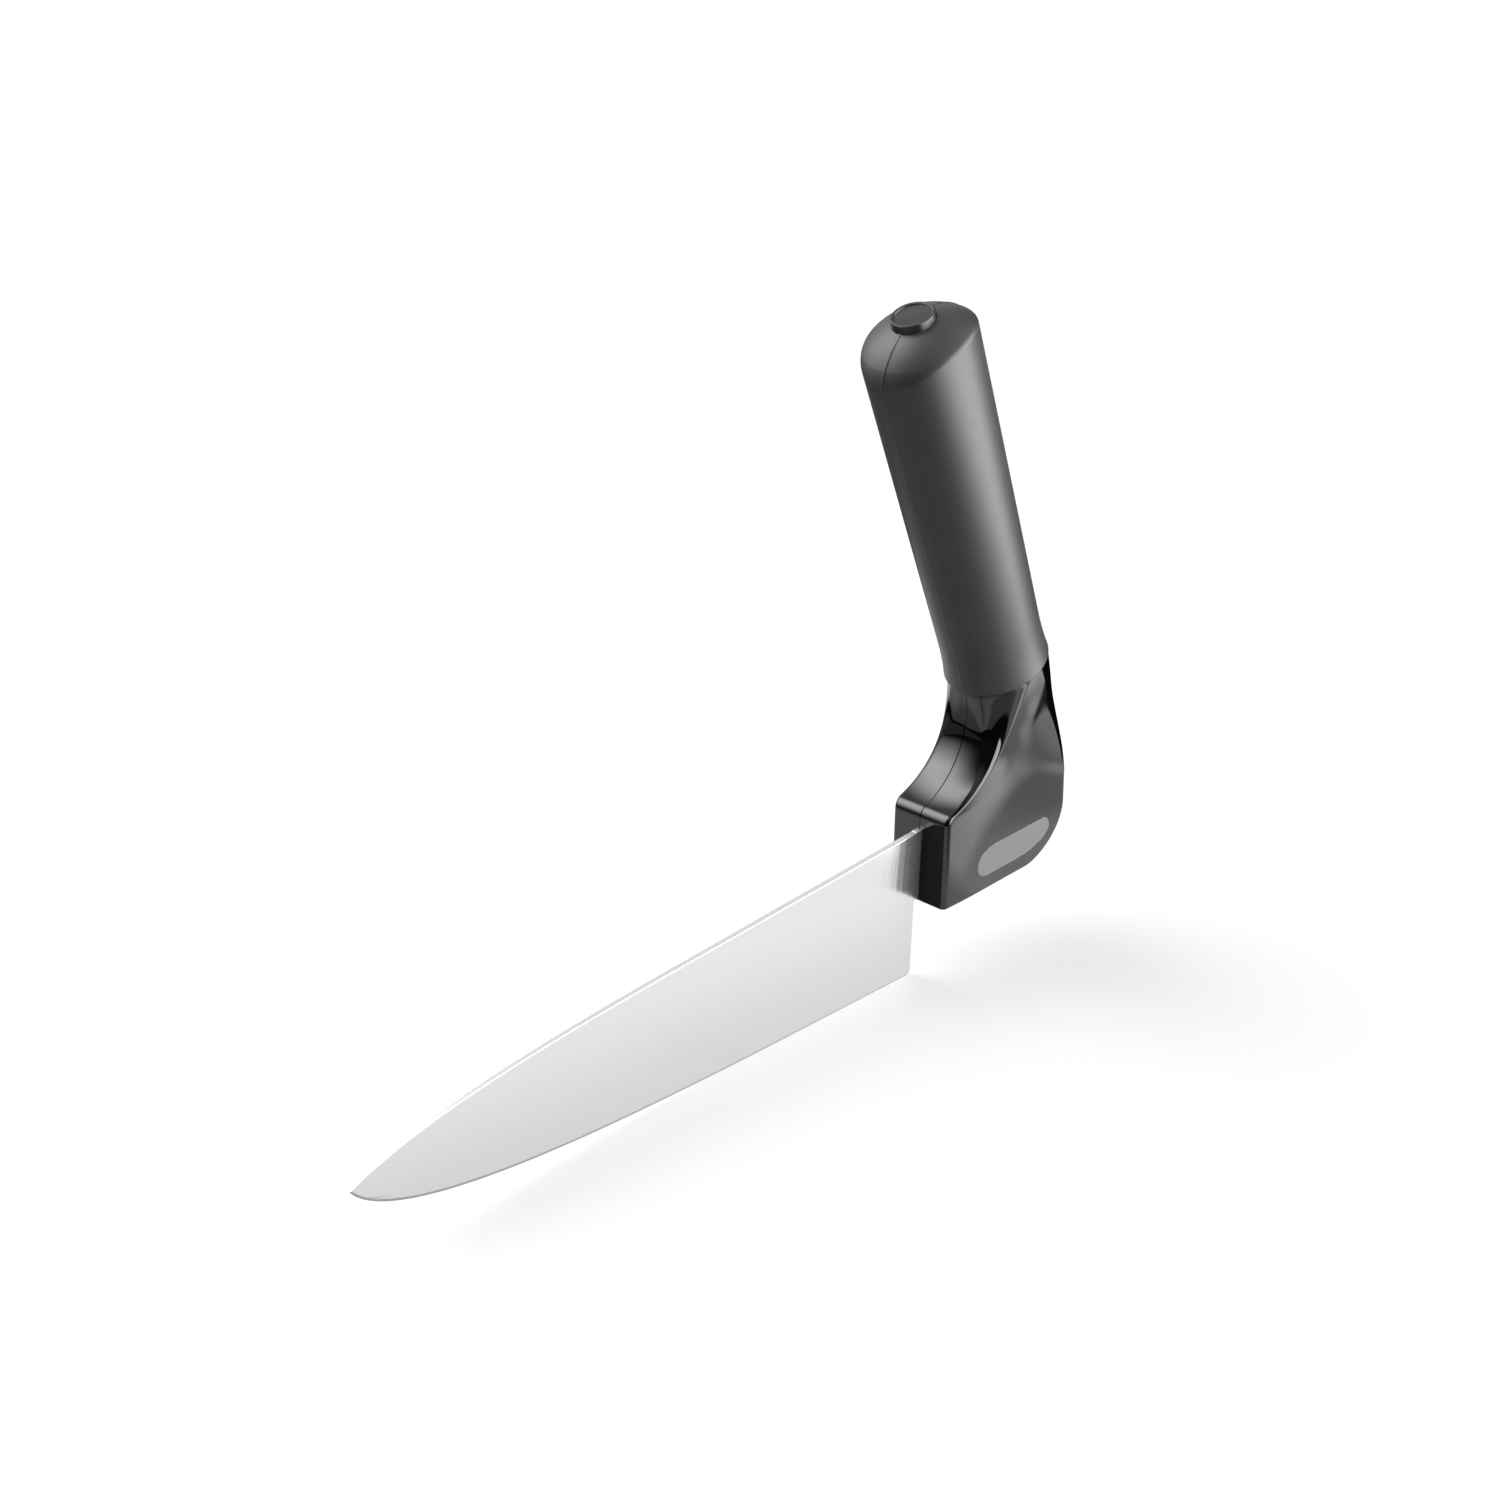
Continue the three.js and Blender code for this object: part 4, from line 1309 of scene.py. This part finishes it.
# %% Brightness along the knife and to its sides
TIP_TO_HEEL = (-0.18, 0.0)
TIP_TO_HEEL_GLOW = (1.12, 1.18)
HEEL_RISE = (0.120, 0.130)
HEEL_GLOW = 0.45
REAR_FALL = (0.13, 0.205)
REAR_LOSS = 0.72
RIGHT_RISE = (0.232, 0.246)
RIGHT_GLOW = 0.5
BY_BLOCK_START = (0.15, 0.18)
BY_BLOCK_END = (0.054, 0.066)
BY_BLOCK_GLOW = 0.4
# Next to the blade the mirrored table is darker: painted shade that stands in for the blade's shadow on it.
BLADE_SHADE_WIDTH = (0.0, 0.05)
BLADE_SHADE_GLOW = (0.8, 1.0)
OUTER_PART = (0.065, 0.09)
OUTER_END = (0.08, 0.16)
OUTER_LOSS = 0.5


def table_base(tree, x, aside):
    """Brightness that changes slowly along the knife and falls off to the sides, with painted shade by the
    blade.
    """
    loss = product(tree, fade_in(tree, aside, OUTER_PART), fade_out(tree, x, OUTER_END), OUTER_LOSS)
    by_block = product(tree, fade_in(tree, x, BY_BLOCK_START), fade_out(tree, aside, BY_BLOCK_END))
    along = added(
        tree,
        range_node(tree, x, *TIP_TO_HEEL, *TIP_TO_HEEL_GLOW),
        range_node(tree, x, *HEEL_RISE, 0.0, HEEL_GLOW),
        range_node(tree, x, *REAR_FALL, 0.0, -REAR_LOSS),
        range_node(tree, x, *RIGHT_RISE, 0.0, RIGHT_GLOW),
        product(tree, by_block, BY_BLOCK_GLOW),
    )
    blade_shade = range_node(tree, aside, *BLADE_SHADE_WIDTH, *BLADE_SHADE_GLOW)
    return product(tree, along, blade_shade, all_but(tree, loss))


print("brightness from tip to heel:", TIP_TO_HEEL_GLOW, "with", HEEL_GLOW, "more behind the heel")

# %% Bright part next to the panel
FRONT_LINE = (0.153, -0.057)
FRONT_SLOPE = -0.42
FRONT_START = (0.0005, 0.0085)
FRONT_END = (0.02, 0.05)
FRONT_LEFT = (0.125, 0.14)
FRONT_RIGHT = (0.210, 0.230)
FRONT_LIMIT = -0.0815
FRONT_RISE = (0.14, 0.20)
FRONT_LIGHT = (0.8, 2.1)


def above_line(tree, x, y, place, slope):
    """How far a point is behind a slanted line through a place on the table."""
    line = product(tree, math_node(tree, "SUBTRACT", x, place[0]), slope)
    return math_node(tree, "SUBTRACT", math_node(tree, "SUBTRACT", y, place[1]), line)


def table_front(tree, x, y):
    """The part next to the panel is brighter, from a slanted line on."""
    slanted = product(tree, above_line(tree, x, y, FRONT_LINE, FRONT_SLOPE), -1.0)
    level = math_node(tree, "SUBTRACT", FRONT_LIMIT, y)
    beyond = math_node(tree, "MAXIMUM", slanted, level)
    return product(
        tree,
        fade_in(tree, beyond, FRONT_START),
        fade_out(tree, beyond, FRONT_END),
        fade_in(tree, x, FRONT_LEFT),
        fade_out(tree, x, FRONT_RIGHT),
        range_node(tree, x, *FRONT_RISE, *FRONT_LIGHT),
    )


print("brightness added next to the panel:", FRONT_LIGHT)

# %% Edges of the table
LEFT_EDGE = (-0.32, -0.28)
NEAR_EDGE = (-0.205, -0.185)
FAR_EDGE = (0.20, 0.22)
RIGHT_EDGE = (0.228, 0.236)
RIGHT_EDGE_SLANT = 0.9
# A small patch painted dark into the mirrored table: the block's neck shows it as a painted dark reflection.
DARK_PATCH_LEFT = (0.2345, 0.2365)
DARK_PATCH_LOWER = (0.238, -0.0835)
DARK_PATCH_UPPER = (0.238, -0.0795)
DARK_PATCH_SLOPES = (0.0, 0.55)
DARK_PATCH_EDGE = 0.0015


def table_outline(tree, x, y, aside):
    """One on the table, nothing past its edges and in a small dark patch at its right, a painted dark
    reflection.
    """
    dark_patch = product(
        tree,
        fade_in(tree, x, DARK_PATCH_LEFT),
        fade_in(tree, above_line(tree, x, y, DARK_PATCH_LOWER, DARK_PATCH_SLOPES[0]), (0.0, DARK_PATCH_EDGE)),
        fade_out(tree, above_line(tree, x, y, DARK_PATCH_UPPER, DARK_PATCH_SLOPES[1]), (-DARK_PATCH_EDGE, 0.0)),
    )
    slanted = math_node(tree, "SUBTRACT", x, product(tree, aside, RIGHT_EDGE_SLANT))
    return product(
        tree,
        fade_in(tree, x, LEFT_EDGE),
        fade_out(tree, slanted, RIGHT_EDGE),
        fade_in(tree, y, NEAR_EDGE),
        fade_out(tree, y, FAR_EDGE),
        all_but(tree, dark_patch),
    )


print(f"table: {RIGHT_EDGE[0] - LEFT_EDGE[1]:.3f} m along and {FAR_EDGE[0] - NEAR_EDGE[1]:.3f} m across")

# %% Everything that the knife mirrors of the table
POOLS = (((0.03, 0.13), 0.085, 0.5), ((0.229, -0.081), 0.009, 1.0), ((0.240, -0.075), 0.012, 0.8))
BEHIND_TABLE = (0.24, 0.30)
BEHIND_GLOW = 0.22
STEEP_RAY = (0.15, 0.42)
STEEP_GLOW = 0.45
EVEN_BLEND = 0.5


def light_pool(tree, x, y, place, radius, light):
    """A round, soft patch of light on the table."""
    dx = math_node(tree, "SUBTRACT", x, place[0])
    dy = math_node(tree, "SUBTRACT", y, place[1])
    away = math_node(tree, "SQRT", added(tree, product(tree, dx, dx), product(tree, dy, dy)))
    return product(tree, fade_out(tree, away, (0.0, radius)), light)


def mirrored_glow(tree, x, y):
    """Brightness of the table as the knife mirrors it, less where a ray falls steeply on it."""
    aside = math_node(tree, "ABSOLUTE", y)
    pools = (light_pool(tree, x, y, *pool) for pool in POOLS)
    glow = added(tree, table_base(tree, x, aside), table_front(tree, x, y), *pools)
    facing = add_node(tree, "ShaderNodeLayerWeight", Blend=EVEN_BLEND).outputs["Facing"]
    shallow = range_node(tree, facing, *STEEP_RAY, STEEP_GLOW, 1.0)
    behind = product(tree, fade_in(tree, y, BEHIND_TABLE), BEHIND_GLOW)
    return added(tree, product(tree, table_outline(tree, x, y, aside), glow, shallow), behind)


print("pools of light on the table:", len(POOLS))

# %% [markdown]
# ### The table itself
#
# A white floor could be lit until it clips, but then the knife is lit too much as well. Here part of the
# white is glow for the camera, and part is real light on a pale matte surface, so the knife still drops
# its shadow. Mirrored rays see the glow made above instead, and a second mirroring sees little of it.

# %% White table
TABLE_SIZE = 12.0
TABLE_MATTE = 0.33
TABLE_GLOW = 0.62
SECOND_GLOW = 0.12


def combined(tree, kind, *parts):
    """A shader node that joins its inputs, which are given in order."""
    node = tree.nodes.new(kind)
    for part, socket in zip(parts, node.inputs):
        tree.links.new(part, socket)
    return node.outputs["Shader"]


def matte_shader(tree, tone):
    return add_node(tree, "ShaderNodeBsdfDiffuse", Color=(tone, tone, tone, 1)).outputs["BSDF"]


def make_table_white():
    material = bpy.data.materials.new("white_table")
    material.use_nodes = True
    tree = material.node_tree
    tree.nodes.remove(tree.nodes["Principled BSDF"])
    x, y, _ = add_node(tree, "ShaderNodeSeparateXYZ", Vector=place_on_piece(tree)).outputs
    path = add_node(tree, "ShaderNodeLightPath").outputs
    mirrored = math_node(tree, "MAXIMUM", path["Is Glossy Ray"], path["Is Transmission Ray"])
    first = range_node(tree, path["Glossy Depth"], 1.0, 2.0, 1.0, SECOND_GLOW, "LINEAR")
    seen = product(tree, path["Is Camera Ray"], TABLE_GLOW)
    strength = added(tree, product(tree, mirrored, first, mirrored_glow(tree, x, y)), seen)
    emission = add_node(tree, "ShaderNodeEmission", Strength=strength).outputs["Emission"]
    surface = (matte_shader(tree, TABLE_MATTE), matte_shader(tree, 0.0))
    lit = combined(tree, "ShaderNodeMixShader", mirrored, *surface)
    both = combined(tree, "ShaderNodeAddShader", lit, emission)
    tree.links.new(both, tree.nodes["Material Output"].inputs["Surface"])
    return material


def make_table():
    bm = bmesh.new()
    bmesh.ops.create_grid(bm, x_segments=1, y_segments=1, size=TABLE_SIZE / 2)
    table = object_from(bm, "white_table", Matrix.Identity(4))
    table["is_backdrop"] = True
    table.data.materials.append(make_table_white())
    return table


white_table = make_table()
print("table:", TABLE_SIZE, "m square, with", len(white_table.active_material.node_tree.nodes), "nodes")

# %% [markdown]
# ### The panel
#
# A tall soft panel stands on the table opposite to the window and gives the sleeve and the block their
# light side. What a matte surface needs of it and what the gloss needs differ, so it is two area lamps in
# one place, one for each. Light linking keeps both off the table, where they would wash out the shadow.

# %% Tall panel that lights the knife but not the table
PANEL_FOOT = Vector((0.142, -0.3094, 0.0))
PANEL_FACING = Vector((-0.595, 0.804, 0.0))
PANEL_WIDTH = 0.515
PANEL_HEIGHT = 0.50
PANEL_GLOSS = 8.6
PANEL_LIGHT = 4.0
spared = bpy.data.collections.new("not_lit_by_panel")
spared.objects.link(white_table)
spared.collection_objects[0].light_linking.link_state = "EXCLUDE"


def make_panel(name, radiance, mirrored):
    """One of two lamps in the same place: one is only mirrored, the other only lights matte surfaces."""
    data = bpy.data.lights.new(name, "AREA")
    data.shape = "RECTANGLE"
    data.size = PANEL_WIDTH
    data.size_y = PANEL_HEIGHT
    data.energy = radiance * math.pi * PANEL_WIDTH * PANEL_HEIGHT
    lamp = bpy.data.objects.new(name, data)
    bpy.context.scene.collection.objects.link(lamp)
    lamp.location = PANEL_FOOT + Vector((0, 0, PANEL_HEIGHT / 2))
    lamp.rotation_euler = (-PANEL_FACING).to_track_quat("Z", "Y").to_euler()
    lamp.visible_camera = False
    lamp.visible_glossy = mirrored
    lamp.visible_diffuse = not mirrored
    lamp.light_linking.receiver_collection = spared
    return lamp


for lamp in (make_panel("panel_gloss", PANEL_GLOSS, True), make_panel("panel_light", PANEL_LIGHT, False)):
    print(f"{lamp.name}: {lamp.data.energy:.1f} W")

# %% [markdown]
# ## Sizes
#
# The box of the solids and the box of the dressed knife are printed side by side.

# %% Sizes of the solids and of the dressed knife
seen_low, seen_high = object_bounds()
print("solids:", in_mm(cad_high - cad_low), "dressed:", in_mm(seen_high - seen_low))
